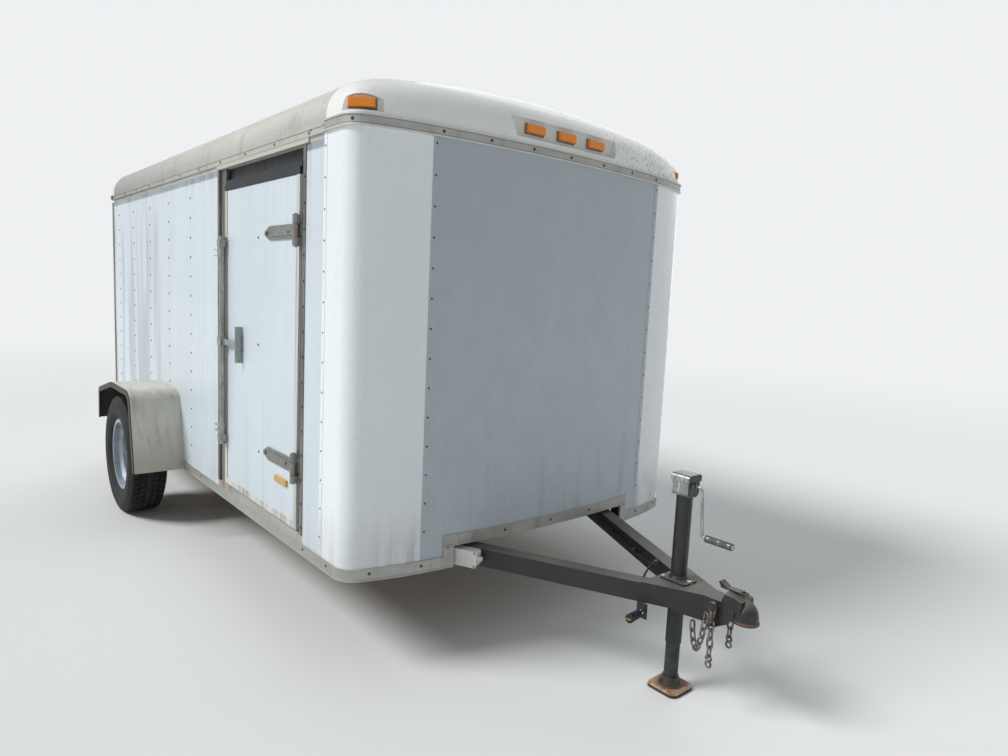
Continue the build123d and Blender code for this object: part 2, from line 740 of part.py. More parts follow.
def chain_hook():
    """Flat S-hook in the XZ plane, with the middle of its upper bow at the origin."""
    outer, inner = CHAIN_HOOK_R, CHAIN_HOOK_R - CHAIN_WIRE
    c = cos(radians(45))
    bow = [(-1, 0), (-c, c), (0, 1), (c, c), (1, 0), (c, -c), (0, -1)]
    upper = [(outer * x, outer * z) for x, z in bow] + [(inner * x, inner * z) for x, z in reversed(bow)]
    drop = outer + inner
    lower = [(-x, -drop - z) for x, z in upper]
    half = CHAIN_WIRE / 2
    return side_profile(upper, -half, half) + side_profile(lower, -half, half)


def safety_chains():
    """Two hanging chains, each with its hook."""
    step = CHAIN_PITCH - CHAIN_PLAY
    for name, side, x, count, z in CHAINS:
        top = z + CHAIN_WIRE / 2 + CHAIN_PLAY - CHAIN_PITCH / 2
        links = [
            Pos(x, side * CHAIN_Y, top - i * step) * Rot(0, 0, 90 * (i % 2)) * chain_link() for i in range(count)
        ]
        last = top - (count - 1) * step - CHAIN_PITCH / 2
        hook_z = last + CHAIN_PLAY - (CHAIN_HOOK_R - CHAIN_WIRE)
        links.append(Pos(x, side * CHAIN_Y, hook_z) * Rot(0, 0, 90 * (count % 2)) * chain_hook())
        write(f"safety_chain_{name}", *links)


def cable_path():
    """Path of the wiring along the left rail, up over the coupler plate and down to its plug."""
    points = [Vector(*p) for p in CABLE_POINTS]
    radii = []
    for before, at, after in zip(points, points[1:], points[2:]):
        run_in, run_out = at - before, after - at
        turn = radians(run_in.get_angle(run_out))
        radii.append(0.45 * min(run_in.length, run_out.length) / tan(turn / 2))
    print("cable radii", [round(r, 1) for r in radii])
    return FilletPolyline(*points, radius=radii)


def wiring():
    """Lamp wiring with its plug."""
    path = cable_path()
    start = Plane(origin=path @ 0, z_dir=path % 0)
    tube = sweep(start * Circle(CABLE_R), path=path)
    print("cable length", round(path.length, 1), "volume share", round(tube.volume / (3.14159265 * CABLE_R**2 * path.length), 4))
    write("wiring_cable", tube)
    end = Vector(*CABLE_POINTS[-1])
    along = (end - Vector(*CABLE_POINTS[-2])).normalized()
    tail = end + along * PLUG_TAIL_L
    tip = tail + along * PLUG_L
    plug = rod(PLUG_TAIL_R, end, tail) + rod(PLUG_R, tail, tip)
    plug += rod(PLUG_R + 2, tail + along * (PLUG_L - 12), tip)
    write("wiring_plug", plug)


def cable_clips():
    """Clips that hold the wiring to the left rail's inner face."""
    clips = []
    for i in (1, 3):
        a, b = Vector(*CABLE_POINTS[i]), Vector(*CABLE_POINTS[i + 1])
        mid = (a + b) * 0.5
        face_y = tongue_line(mid.X, True)
        clip = block(mid.X - CLIP_W / 2, mid.X + CLIP_W / 2, mid.Y - 7, face_y + CLIP_W, mid.Z - 7, mid.Z + 7)
        clip -= left_rail_space()
        clips.append(clip - rod(CABLE_R, a, b))
    return clips


def left_rail_space():
    """The room that the left rail takes up, to trim what seats on its inner face."""
    x0, x1 = TONGUE_REAR_X, COUPLER_REAR_X
    points = [
        (x0, tongue_line(x0, True)),
        (x1, tongue_line(x1, True)),
        (x1, tongue_line(x1, True) + TONGUE_W),
        (x0, tongue_line(x0, True) + TONGUE_W),
    ]
    return plan_prism(points, FRAME_LOW, FRAME_TOP)


def plug_holder():
    """Plate under the right rail with a hole that the plug is pushed through."""
    end = Vector(*CABLE_POINTS[-1])
    along = (end - Vector(*CABLE_POINTS[-2])).normalized()
    share = (HOLDER_Y - end.Y) / along.Y
    centre = end + along * share
    plate = block(centre.X - 22, centre.X + 22, HOLDER_Y, HOLDER_Y - HOLDER_T, centre.Z - 22, FRAME_LOW)
    return plate - rod(PLUG_TAIL_R + FIT, centre - along * 40, centre + along * 40)


def jack():
    """Tongue jack: outer tube, gear head, crank and the sliding leg."""
    tube = rod(JACK_TUBE_R, (JACK_X, 0, JACK_TUBE_LOW), (JACK_X, 0, JACK_TUBE_TOP))
    bore_r = JACK_TUBE_R - JACK_WALL
    tube -= rod(bore_r, (JACK_X, 0, 0), (JACK_X, 0, JACK_TUBE_TOP - 20))
    plate_z = FRAME_TOP + COUPLER_T
    plate = extrude(Pos(JACK_X, 0, plate_z) * RectangleRounded(110, 84, 15), amount=6)
    collar = Pos(JACK_X, 0, plate_z + 13) * Cone(JACK_TUBE_R + 7, JACK_TUBE_R + 1, 14)
    tube += plate + collar - upright_hole(JACK_TUBE_R - 1, JACK_X, 0)
    write("jack_tube", tube)
    half = JACK_LID_HALF
    lid_low = JACK_TOP - JACK_LID_H
    narrow = half - JACK_LID_LAP
    housing = block(JACK_X - narrow, JACK_X + narrow, -narrow, narrow, JACK_TUBE_TOP, lid_low)
    housing = fillet(housing.edges().filter_by(Axis.X).group_by(Axis.Z)[0], 20)
    lid = block(JACK_X - half, JACK_X + half, -half, half, lid_low, JACK_TOP)
    lid = fillet(lid.edges().filter_by(Axis.X).group_by(Axis.Z)[-1], 12)
    boss = rod(CRANK_R + 6, (JACK_X + narrow, 0, CRANK_Z), (JACK_X + narrow + 9, 0, CRANK_Z))
    write("jack_head", housing + lid + boss)
    write("jack_crank", crank(JACK_X + narrow + 9))
    leg_r = bore_r - JACK_SLIDE / 2
    leg = rod(leg_r, (JACK_X, 0, JACK_FOOT_H - 1), (JACK_X, 0, JACK_TUBE_TOP - JACK_LEG_IN))
    pad = extrude(Pos(JACK_X, 0, 0) * RectangleRounded(JACK_FOOT_W, JACK_FOOT_W, JACK_FOOT_R), amount=JACK_FOOT_H)
    pad = chamfer(pad.edges().group_by(Axis.Z)[-1], 5)
    inner_w = JACK_FOOT_W - 2 * JACK_FOOT_T
    hollow = RectangleRounded(inner_w, inner_w, JACK_FOOT_R - JACK_FOOT_T)
    pad -= extrude(Pos(JACK_X, 0, 0) * hollow, amount=JACK_FOOT_H - JACK_FOOT_T - 2)
    boss_z = JACK_FOOT_H + JACK_BOSS_H / 2
    cone = Pos(JACK_X, 0, boss_z) * Cone(JACK_TUBE_R + 11, JACK_TUBE_R + 1, JACK_BOSS_H)
    write("jack_leg", leg + pad + cone)


def crank(start_x):
    """Bent crank rod with a turning grip at its lower end."""
    elbow_x = start_x + CRANK_OUT - 9
    low_x, low_z = elbow_x + CRANK_LEAN, CRANK_Z - CRANK_DROP
    bent = FilletPolyline(
        (start_x, 0, CRANK_Z), (elbow_x, 0, CRANK_Z), (low_x, 0, low_z), (low_x + 22, 0, low_z), radius=CRANK_BEND_R
    )
    arm = sweep(Plane(origin=bent @ 0, z_dir=bent % 0) * Circle(CRANK_R), path=bent)
    grip = rod(GRIP_R, (low_x + 16, 0, low_z), (low_x + 16 + GRIP_L, 0, low_z))
    for share in (0.12, 0.5, 0.88):
        x = low_x + 16 + GRIP_L * share
        grip += rod(GRIP_R + 1.5, (x - 5, 0, low_z), (x + 5, 0, low_z))
    return arm + grip


def spun(points, side):
    """A profile of radius and offset, turned about the wheel's axis."""
    face = make_face(Polyline(*[(r, 0, y) for r, y in points], close=True))
    solid = revolve(face, axis=Axis.Z)
    turned = Rot(90 if side < 0 else -90, 0, 0) * solid
    return Pos(WHEEL_X, side * TRACK_HALF, TYRE_R) * turned


def wheel_rim(side):
    """Steel wheel: drop-centre barrel and a dished disc with hand holes."""
    w, lip, t = RIM_HALF, RIM_FLANGE_H, RIM_T
    well = RIM_R - 20
    barrel = spun(
        [(RIM_R + lip, -w - t), (RIM_R + lip, -w), (RIM_R, -w), (RIM_R, -w + 22), (well, -w + 34),
         (well, w - 44), (RIM_R, w - 26), (RIM_R, w), (RIM_R + lip, w), (RIM_R + lip, w + t),
         (RIM_R - t, w + t), (RIM_R - t, w - 26), (well - t, w - 42), (well - t, -w + 30),
         (RIM_R - t, -w + 20), (RIM_R - t, -w - t)],
        side,
    )
    bore, seat, crown = HUB_R + 1, HUB_FLANGE_R + 5, HUB_FLANGE_R + 35
    disc = spun(
        [(bore, 0), (bore, 5), (seat, 5), (crown, 24), (well - t, 12), (well - t, 5), (crown, 17), (seat + 4, 0)], side
    )
    for i in range(HAND_HOLES):
        a = radians(360 * (i + 0.5) / HAND_HOLES)
        x, z = WHEEL_X + HAND_HOLE_PCR * cos(a), TYRE_R + HAND_HOLE_PCR * sin(a)
        disc -= rod(HAND_HOLE_R, (x, side * (TRACK_HALF - 20), z), (x, side * (TRACK_HALF + 60), z))
    return barrel + disc


def tyre_seat(wall_y, wall_r):
    """Half width at the seat, so that a sidewall rising to this point just clears the rim's flange."""
    lean = (wall_y - RIM_HALF) / (wall_r - RIM_R - RIM_FLANGE_H)
    return RIM_HALF - FIT - lean * (RIM_FLANGE_H + FIT)


def tyre(side):
    """Tyre seated on the barrel, with a bulged outer sidewall and a plain inner one."""
    half = TYRE_W / 2
    tread_half = half - TYRE_SHOULDER
    seat, bulge = RIM_R + FIT, (TYRE_R + RIM_R) / 2 + TYRE_BULGE_UP
    outline = [
        (seat, tyre_seat(half, bulge)), (bulge, half), (TYRE_R, tread_half),
        (TYRE_R, -tread_half), (seat, -tyre_seat(tread_half, TYRE_R)),
    ]
    return spun(outline, side)


def running_gear():
    """Rubber-torsion axle, trailing arms, hubs, wheels and tyres."""
    beam_x = WHEEL_X + ARM_LEN
    beam_z = FRAME_LOW - BEAM_H / 2
    half = BEAM_H / 2
    write("axle_beam", block(beam_x - half, beam_x + half, -ARM_IN, ARM_IN, FRAME_LOW - BEAM_H, FRAME_LOW))
    arms = []
    for name, side in (("left", 1), ("right", -1)):
        y0, y1 = side * ARM_IN, side * ARM_OUT
        flange_y, nose_y = side * (TRACK_HALF - HUB_FLANGE_T), side * (TRACK_HALF + HUB_NOSE)
        arm = rod(ARM_EYE_R, (beam_x, y0, beam_z), (beam_x, y1, beam_z))
        arm += rod(ARM_EYE_R, (WHEEL_X, y0, TYRE_R), (WHEEL_X, y1, TYRE_R))
        web = [
            (beam_x, beam_z - ARM_HALF), (beam_x, beam_z + ARM_HALF),
            (WHEEL_X, TYRE_R + ARM_HALF), (WHEEL_X, TYRE_R - ARM_HALF),
        ]
        arm += side_profile(web, y0, y1)
        spindle_end = side * (TRACK_HALF + SPINDLE_END)
        arm += rod(SPINDLE_R, (WHEEL_X, y1, TYRE_R), (WHEEL_X, spindle_end, TYRE_R))
        arms.append(arm)
        hub = rod(HUB_R, (WHEEL_X, y1 + side * TYRE_GAP, TYRE_R), (WHEEL_X, nose_y, TYRE_R))
        hub += rod(HUB_FLANGE_R, (WHEEL_X, flange_y, TYRE_R), (WHEEL_X, side * TRACK_HALF, TYRE_R))
        hub -= rod(SPINDLE_R + HUB_CLEAR, (WHEEL_X, y1, TYRE_R), (WHEEL_X, spindle_end + side, TYRE_R))
        write(f"hub_{name}", hub)
        write(f"wheel_{name}", wheel_rim(side))
        write(f"tyre_{name}", tyre(side))
    write("axle_arms", *arms)


def fender_form(inset, y0, y1):
    """A fender's side outline as a solid, set in by a wall or a lip and run down past its feet."""
    lean = FENDER_SLANT / (FENDER_TOP - FENDER_LOW)
    below = FENDER_LOW - 100
    points = [
        (FENDER_FRONT_X + 100 * lean, below),
        (FENDER_FRONT_X - FENDER_SLANT, FENDER_TOP),
        (FENDER_FLAT_X, FENDER_TOP),
        (FENDER_REAR_X, FENDER_REAR_TOP),
        (FENDER_REAR_X - 100 * lean, below),
    ]
    top = FilletPolyline(*points, radius=[FENDER_CORNER_R, FENDER_BEND_R, FENDER_REAR_R])
    face = make_face(Wire(top.edges() + [Line(points[-1], points[0])]))
    if inset:
        face = offset(face, -inset, kind=Kind.INTERSECTION)
    return Pos(0, y1, 0) * Rot(90, 0, 0) * extrude(face, amount=y1 - y0)


def fenders():
    """Fenders with a flat top that falls to the rear, an open outer side and a turned lip round it."""
    y0, y1 = HALF_W, HALF_W + FENDER_REACH
    shell = fender_form(0, y0, y1)
    shell -= fender_form(FENDER_T, y0 - 1, y1 - FENDER_T)
    shell -= fender_form(FENDER_LIP, y0, y1 + 5)
    shell -= block(WHEEL_X, FAR, y0 - 1, y1 + 1, 0, FENDER_LOW)
    shell -= block(-FAR, WHEEL_X, y0 - 1, y1 + 1, 0, FENDER_REAR_LOW)
    shell -= block(-FAR, FAR, y0 - 1, y0 + TRIM_T + TRIM_LIP + FIT, 0, TRIM_TOP)
    write("fenders", shell, across(shell))


def swung(shape, x, y, angle):
    """Place a piece drawn on a leaf's face: its x runs from the hinge along the leaf, its y outwards."""
    return Pos(x, y, 0) * Rot(0, 0, angle) * shape


def hinge_butt(z, reach, sink):
    """Fixed half of a strap hinge: two ears, the pin and the butt plate, with the pin at the origin."""
    low, top = z - HINGE_H / 2, z + HINGE_H / 2
    ear = (HINGE_H - HINGE_MID_H) / 2
    butt = rod(HINGE_PIN_R, (0, 0, low - 4), (0, 0, top + 4))
    for ear_low in (low, top - ear):
        ear_top = ear_low + ear
        butt += rod(HINGE_BARREL_R, (0, 0, ear_low), (0, 0, ear_top))
        butt += block(-reach, -DOOR_GAP / 2, -HINGE_OUT - sink, -HINGE_OUT + STRAP_T, ear_low, ear_top)
        butt += block(-HINGE_BARREL_R, -DOOR_GAP / 2, -HINGE_OUT, 0, ear_low, ear_top)
    return butt


def strap_hinge(z):
    """Moving half of a strap hinge: barrel, pointed strap, raised rib and two bolt heads."""
    half = HINGE_MID_H / 2 - HINGE_PLAY
    tall = STRAP_H / 2
    shoulder = STRAP_L - STRAP_POINT
    face, back = -HINGE_OUT + STRAP_T, -HINGE_OUT
    outline = [
        (0, z - half), (16, z - tall), (shoulder, z - tall), (STRAP_L, z - 8),
        (STRAP_L, z + 8), (shoulder, z + tall), (16, z + tall), (0, z + half),
    ]
    strap = side_profile(outline, back, face)
    strap += rod(HINGE_BARREL_R, (0, 0, z - half), (0, 0, z + half))
    rib_l = shoulder - 30
    rib = SlotOverall(rib_l, STRAP_RIB_H)
    plane = Plane(origin=((24 + shoulder) / 2, face, z), x_dir=(-1, 0, 0), z_dir=(0, 1, 0))
    strap += extrude(plane * rib, amount=STRAP_RIB_T)
    for x in (STRAP_L - 24, 96.0):
        strap += rod(8, (x, face, z), (x, face + STRAP_RIB_T + 3.5, z))
    return strap - upright_hole(HINGE_PIN_R + HUB_CLEAR, 0, 0)


def bar_lock(radius, low, top, guides, handle_z, reach, catch_h):
    """Upright lock bar in its guides, with the handle laid back over its catch."""
    out = radius + BAR_STAND
    bar = rod(radius, (0, out, low), (0, out, top))
    for z in guides:
        z0, z1 = z - GUIDE_H / 2, z + GUIDE_H / 2
        wide = radius + GUIDE_T
        bar += block(-wide - 14, wide + 14, 0, GUIDE_T, z0, z1)
        bar += block(-wide, wide, 0, out + radius + GUIDE_T, z0, z1)
    h, t = HANDLE_H / 2, HANDLE_T / 2
    bar += block(-reach, 0, out - t, out + t, handle_z - h, handle_z + h)
    bar += block(-radius - 8, radius + 8, out - radius, out + radius + 3, handle_z - h - 8, handle_z + h + 8)
    bar += block(-reach - 14, -reach + 14, 0, GUIDE_T, handle_z - CATCH_FOOT_H, handle_z + CATCH_FOOT_H)
    bar += block(-reach - t, -reach + t, 0, out + radius, handle_z - catch_h / 2, handle_z + catch_h / 2)
    return bar


def door_leaf(width, low, top):
    """A sandwich leaf drawn from its hinge edge, with edge strips round its face."""
    leaf = block(0, width, -WALL_T, 0, low, top)
    ring = block(0, width, 0, EDGE_T, low, top)
    ring -= block(EDGE_W, width - EDGE_W, -1, EDGE_T + 1, low + EDGE_W, top - EDGE_W)
    return leaf + ring


def side_door_frame(head_low, sill_top):
    """Jambs with a proud flange and a stepped face, the recessed header and its strip."""
    y_out, y_in = -HALF_W, -HALF_W + WALL_T
    proud = y_out - JAMB_FLANGE_T
    front_in, rear_in = DOOR_FRONT_X - JAMB_FRONT_W, DOOR_REAR_X + JAMB_REAR_W
    frame = block(front_in, DOOR_FRONT_X, y_out + JAMB_STEP, y_in, sill_top, WALL_TOP)
    frame += block(DOOR_FRONT_X - JAMB_FLANGE_W, DOOR_FRONT_X, proud, y_in, sill_top, WALL_TOP)
    frame += block(DOOR_REAR_X, rear_in, y_out + JAMB_STEP, y_in, sill_top, WALL_TOP)
    frame += block(DOOR_REAR_X, DOOR_REAR_X + JAMB_FLANGE_W, proud, y_in, sill_top, WALL_TOP)
    frame += block(DOOR_REAR_X, DOOR_FRONT_X, y_out + HEADER_STEP, y_in, head_low, WALL_TOP)
    for z in SIDE_CAM_Z:
        gap = CAM_H / 2 + CAM_PLAY
        for low in (z - gap - KEEPER_T, z + gap):
            frame += block(
                rear_in - DOOR_GAP - KEEPER_W, rear_in - DOOR_GAP,
                y_out - KEEPER_OUT, y_out + JAMB_STEP, low, low + KEEPER_T,
            )
    strip = block(
        DOOR_REAR_X, DOOR_FRONT_X + JAMB_FLANGE_W, y_out - HEADER_STRIP_T, y_out, WALL_TOP, WALL_TOP + RAIL_STRIP_H
    )
    write("side_door_frame", frame, strip)


def side_door():
    """Door frame, threshold, leaf, strap hinges, lock bar and reflector."""
    y_out, y_in = -HALF_W, -HALF_W + WALL_T
    sill_top = LEAF_LOW - DOOR_GAP
    leaf_front = DOOR_FRONT_X - JAMB_FRONT_W - DOOR_GAP
    leaf_w = leaf_front - (DOOR_REAR_X + JAMB_REAR_W + DOOR_GAP)
    side_door_frame(LEAF_TOP + DOOR_GAP, sill_top)
    sill = block(DOOR_REAR_X, DOOR_FRONT_X, y_out, y_in, FRAME_TOP, sill_top)
    sill += block(DOOR_REAR_X, DOOR_FRONT_X, y_out, y_out + SKIN_T, TRIM_LOW, FRAME_TOP)
    write("side_door_threshold", sill)
    face_top = LEAF_TOP - LEAF_DRIP_H
    leaf = door_leaf(leaf_w, LEAF_LOW, face_top)
    leaf += block(0, leaf_w, -WALL_T, -LEAF_DRIP_STEP, face_top, LEAF_TOP)
    write("side_door_leaf", swung(leaf, leaf_front, y_out, 180))
    pin_x, pin_y = leaf_front + DOOR_GAP / 2, y_out - HINGE_OUT
    butt_reach = pin_x - (DOOR_FRONT_X - JAMB_FLANGE_W)
    butts = [hinge_butt(z, -butt_reach, JAMB_STEP) for z in SIDE_HINGE_Z]
    write("side_hinge_posts", *[swung(butt, pin_x, pin_y, 180) for butt in butts])
    straps = [strap_hinge(z) - swung_edge_strip(pin_x - leaf_front) for z in SIDE_HINGE_Z]
    write("side_hinge_straps", *[swung(strap, pin_x, pin_y, 180) for strap in straps])
    lock = bar_lock(
        SIDE_BAR_R, SIDE_BAR_LOW, SIDE_BAR_TOP, (SIDE_BAR_LOW + GUIDE_H, SIDE_BAR_TOP - GUIDE_H),
        SIDE_HANDLE_Z, SIDE_HANDLE_REACH, SIDE_CATCH_H,
    )
    out = SIDE_BAR_R + BAR_STAND
    for z in SIDE_CAM_Z:
        lock += block(0, CAM_REACH, out - CAM_H / 2, out + CAM_H / 2, z - CAM_H / 2, z + CAM_H / 2)
    write("side_lock_bar", swung(lock - lock_edge_strip(leaf_front - leaf_w), SIDE_BAR_X, y_out, 180))
    reflector = fillet(Box(REFLECTOR_W, REFLECTOR_T, REFLECTOR_H).edges().filter_by(Axis.Y), 4)
    write("side_door_reflector", Pos(REFLECTOR_X, y_out - REFLECTOR_T / 2, REFLECTOR_Z) * reflector)


def swung_edge_strip(gap):
    """The leaf's hinge-side edge strip as a cutter, seen from the pin."""
    return block(0, gap + EDGE_W, -HINGE_OUT - 1, -HINGE_OUT + EDGE_T, -FAR, FAR)


def lock_edge_strip(leaf_rear):
    """The leaf's free-side edge strip as a cutter, seen from the lock bar."""
    near = SIDE_BAR_X - leaf_rear
    return block(near - EDGE_W, near + 200, -1, EDGE_T, -FAR, FAR)


def rear_end():
    """Rear frame, cap, twin doors with straps and lock bars."""
    frame = block(REAR_X, REAR_IN_X, -HALF_W, HALF_W, FRAME_LOW, WALL_TOP)
    open_y = HALF_W - REAR_POST_W
    frame -= block(REAR_X - 1, REAR_IN_X + 1, -open_y, open_y, REAR_SILL_TOP, REAR_HEAD_LOW)
    write("rear_frame", frame)
    rail = block(REAR_X, REAR_IN_X, -HALF_W, HALF_W, WALL_TOP, ROOF_BASE)
    write("rear_cap", roof_body(0, REAR_X, REAR_IN_X) + rail)
    low, top = REAR_SILL_TOP + DOOR_GAP, REAR_HEAD_LOW - DOOR_GAP
    hinge_y = -open_y + DOOR_GAP
    leaf = swung(door_leaf(-MEET_GAP / 2 - hinge_y, low, top), REAR_X, hinge_y, 90)
    write("rear_door_right", leaf)
    write("rear_door_left", across(leaf))
    pin_x, pin_y = REAR_X - HINGE_OUT, hinge_y - DOOR_GAP / 2
    butts = [swung(hinge_butt(z, REAR_BUTT_W, 0), pin_x, pin_y, 90) for z in REAR_HINGE_Z]
    write("rear_hinge_posts", *butts, *[across(butt) for butt in butts])
    hardware = [
        swung(strap_hinge(z) - swung_edge_strip(DOOR_GAP / 2), pin_x, pin_y, 90) for z in REAR_HINGE_Z
    ]
    guides = [low + (top - low) * share for share in REAR_GUIDES]
    lock = bar_lock(
        REAR_BAR_R, low + REAR_BAR_END, top - REAR_BAR_END, guides, REAR_HANDLE_Z, REAR_HANDLE_REACH, REAR_CATCH_H
    )
    edges = block(-FAR, FAR, -1, EDGE_T, low - 1, low + EDGE_W) + block(-FAR, FAR, -1, EDGE_T, top - EDGE_W, top + 1)
    hardware.append(swung(lock - edges, REAR_X, REAR_BAR_Y, 90))
    write("rear_hardware_right", *hardware)
    write("rear_hardware_left", *[across(piece) for piece in hardware])


def lamp(width, height, depth):
    """A lamp drawn with its back at the origin, facing +Z: a base plate and a rounded lens."""
    base = extrude(Rectangle(width, height), amount=LAMP_BASE_T)
    lens = extrude(Rectangle(width - 2 * LAMP_RIM, height - 2 * LAMP_RIM), amount=depth)
    lens = fillet(lens.edges().group_by(Axis.Z)[-1], 4)
    return base + lens


def lamps():
    """Amber lamps in the cap's pockets, red markers and tail lamps at the rear."""
    amber = []
    for y in (-LAMP_SPACING, 0, LAMP_SPACING):
        plane = Plane(origin=(POCKET_X, y, LAMP_Z), x_dir=(0, 1, 0), z_dir=(1, 0, 0))
        amber.append(plane.location * lamp(LAMP_W, LAMP_H, LAMP_T))
    corner = eye_plane(EYE_BACK)
    corner = Plane(origin=corner.origin + Vector(0, 0, EYE_LAMP_Z), x_dir=corner.x_dir, z_dir=corner.z_dir)
    right = corner.location * lamp(LAMP_W, EYE_LAMP_H, EYE_LAMP_T)
    write("lamps_amber", *amber, right, across(right))
    rear_low = (FRAME_LOW + REAR_SILL_TOP) / 2
    # Columns: y and z of the lamp's middle, width, height
    rear_lamps = [(side * TAIL_Y, rear_low, TAIL_W, TAIL_H) for side in (1, -1)]
    rear_lamps += [(i * MARKER_SPACING, MARKER_Z, MARKER_W, MARKER_H) for i in (-1, 0, 1)]
    rear_lamps += [(side * (HALF_W - MARKER_W), MARKER_Z, MARKER_W, MARKER_H) for side in (1, -1)]
    red = []
    for y, z, width, height in rear_lamps:
        plane = Plane(origin=(REAR_X, y, z), x_dir=(0, -1, 0), z_dir=(-1, 0, 0))
        red.append(plane.location * lamp(width, height, MARKER_T))
    side = Plane(origin=(REAR_X + SIDE_MARKER_IN, -HALF_W, SIDE_MARKER_Z), x_dir=(1, 0, 0), z_dir=(0, -1, 0))
    side_lamp = side.location * lamp(MARKER_H, MARKER_W / 2, MARKER_T)
    write("lamps_red", *red, side_lamp, across(side_lamp))


def junction_box():
    """Connector box with its lid on the outer face of the right tongue rail."""
    face_y = -tongue_line(BOX_X, False)
    box = block(-BOX_L / 2, BOX_L / 2, -BOX_D, 0, -BOX_H / 2, BOX_H / 2)
    box = fillet(box.edges().filter_by(Axis.Y), 6)
    lap = BOX_LID_LAP
    lid = block(-BOX_L / 2 - lap, BOX_L / 2 + lap, -BOX_D - BOX_LID_T, -BOX_D, -BOX_H / 2 - lap, BOX_H / 2 + lap)
    lid = fillet(lid.edges().filter_by(Axis.Y), 8)
    gland = rod(9, (BOX_L / 2, -BOX_D / 2, 0), (BOX_L / 2 + 16, -BOX_D / 2, 0))
    write("junction_box", Pos(BOX_X, face_y, BOX_Z) * Rot(0, 0, TONGUE_HALF_ANGLE) * (box + lid + gland))


os.makedirs("parts", exist_ok=True)
body_walls()
lower_trim()
front_cap()
top_band()
roof()
floor_frame()
coupler()
safety_chains()
wiring()
jack()
running_gear()
fenders()
side_door()
rear_end()
lamps()
junction_box()
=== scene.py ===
"""Enclosed cargo trailer: finishes and fine detail over the packed model, laid out as an add-on.

Metres, in the packed model's frame: +X forwards to the coupler, +Y to the left, +Z up. Places are
given from the foremost point of the body's nose, which lies NOSE metres ahead of the origin.
"""

from math import asin, cos, pi, radians, sin, sqrt, tan

import bmesh
import bpy
from bpy.props import FloatProperty, FloatVectorProperty, IntProperty, PointerProperty
from mathutils import Matrix, Vector


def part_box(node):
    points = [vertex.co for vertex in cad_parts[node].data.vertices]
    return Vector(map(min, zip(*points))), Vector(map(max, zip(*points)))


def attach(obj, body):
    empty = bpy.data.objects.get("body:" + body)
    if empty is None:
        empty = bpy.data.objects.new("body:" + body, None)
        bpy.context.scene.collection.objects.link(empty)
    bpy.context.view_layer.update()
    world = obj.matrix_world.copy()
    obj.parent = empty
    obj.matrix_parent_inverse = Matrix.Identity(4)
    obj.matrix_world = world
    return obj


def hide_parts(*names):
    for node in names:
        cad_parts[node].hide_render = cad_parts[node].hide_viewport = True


bl_info = {
    "name": "Enclosed cargo trailer",
    "version": (1, 0, 0),
    "blender": (4, 5, 0),
    "location": "View3D > Sidebar > Trailer",
    "description": "Finishes, tyres, chains, wiring and small fittings of an enclosed cargo trailer",
    "category": "Object",
}

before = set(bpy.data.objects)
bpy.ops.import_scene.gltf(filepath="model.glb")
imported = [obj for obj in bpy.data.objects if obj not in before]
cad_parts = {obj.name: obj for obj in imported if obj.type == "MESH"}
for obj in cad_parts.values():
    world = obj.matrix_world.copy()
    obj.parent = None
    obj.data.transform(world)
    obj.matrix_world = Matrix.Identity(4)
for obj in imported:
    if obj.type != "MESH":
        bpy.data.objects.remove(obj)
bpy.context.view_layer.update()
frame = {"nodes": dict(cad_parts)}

# The body's plan: a bowed nose, a cheek and a corner arc on each side, and straight walls.
NOSE, HALF_W, REAR_X = 1.3775, 0.9145, -3.703
NOSE_R, CHEEK_R, CORNER_R, SEAM_Y = 4.6, 1.2, 0.08, 0.6326
SHEET_TOP, FRONT_LOW, CORNER_LOW = 1.927, 0.465, 0.381
SEAM_REACH, CORNER_END = 0.6215, -0.2985
LEAF_HEAD, LINER_MIDDLE, FENDER_MIDDLE = 1.802, 0.6, -2.43

WHEEL_X, TRACK_HALF, TYRE_R = -2.477, 1.06, 0.344
JACK_X, LIP_X, JOINT_X, BOX_X = 0.664, 0.925, 0.600, -0.020
RAIL_SPREAD, RAIL_ANGLE, RAIL_W, RAIL_TOP = 0.412, radians(25.5), 0.06, 0.403
NECK_HALF, NECK_FLANGE, PLUG_LENGTH = 0.038, 0.006, 0.080
LAMP_PLATE, CORNER_LAMP_TURN = 0.0040, radians(38)

# Rows of screws in the trims and bands, and how far these stand out of the body.
NOSE_TRIM_Z, SIDE_TRIM_Z, TRIM_OUT = 0.361, 0.3615, 0.005
NOSE_BAND_Z, SIDE_BAND_Z, BAND_OUT = 1.948, 1.9375, 0.008

CAMERA_PLACE = (3.42858, -2.05209, 1.39123)
CAMERA_TURN = tuple(radians(angle) for angle in (139.42471, -6.87401, 2.72870))
CAMERA_LENS, SENSOR_WIDTH, CAMERA_REACH = 24.848, 36.0, 200.0

CABLE_POINTS = (
    (-0.040, 0.352, 0.372), (0.055, 0.309, 0.367), (0.160, 0.2575, 0.371), (0.262, 0.210, 0.364),
    (0.368, 0.157, 0.369), (0.455, 0.112, 0.374), (0.520, 0.068, 0.400), (0.556, 0.018, 0.442),
    (0.578, -0.038, 0.452), (0.566, -0.070, 0.410), (0.556, -0.066, 0.352), (0.572, -0.070, 0.310),
    (0.604, -0.102, 0.297), (0.612, -0.140, 0.300),
)
SIDES = (("left", 1), ("right", -1))
UP = Vector((0, 0, 1))


def tone(red, green, blue):
    """A colour given as 0 to 255 on screen, as the linear values that a shader takes."""
    parts = [v / 255 for v in (red, green, blue)]
    return tuple(v / 12.92 if v <= 0.04045 else ((v + 0.055) / 1.055) ** 2.4 for v in parts)


def shaded(colour, factor, lift=0.0):
    """A colour made darker or lighter."""
    return tuple(min(v * factor + lift, 1) for v in colour)


# ---------------------------------------------------------------- sizes and colours a user would change


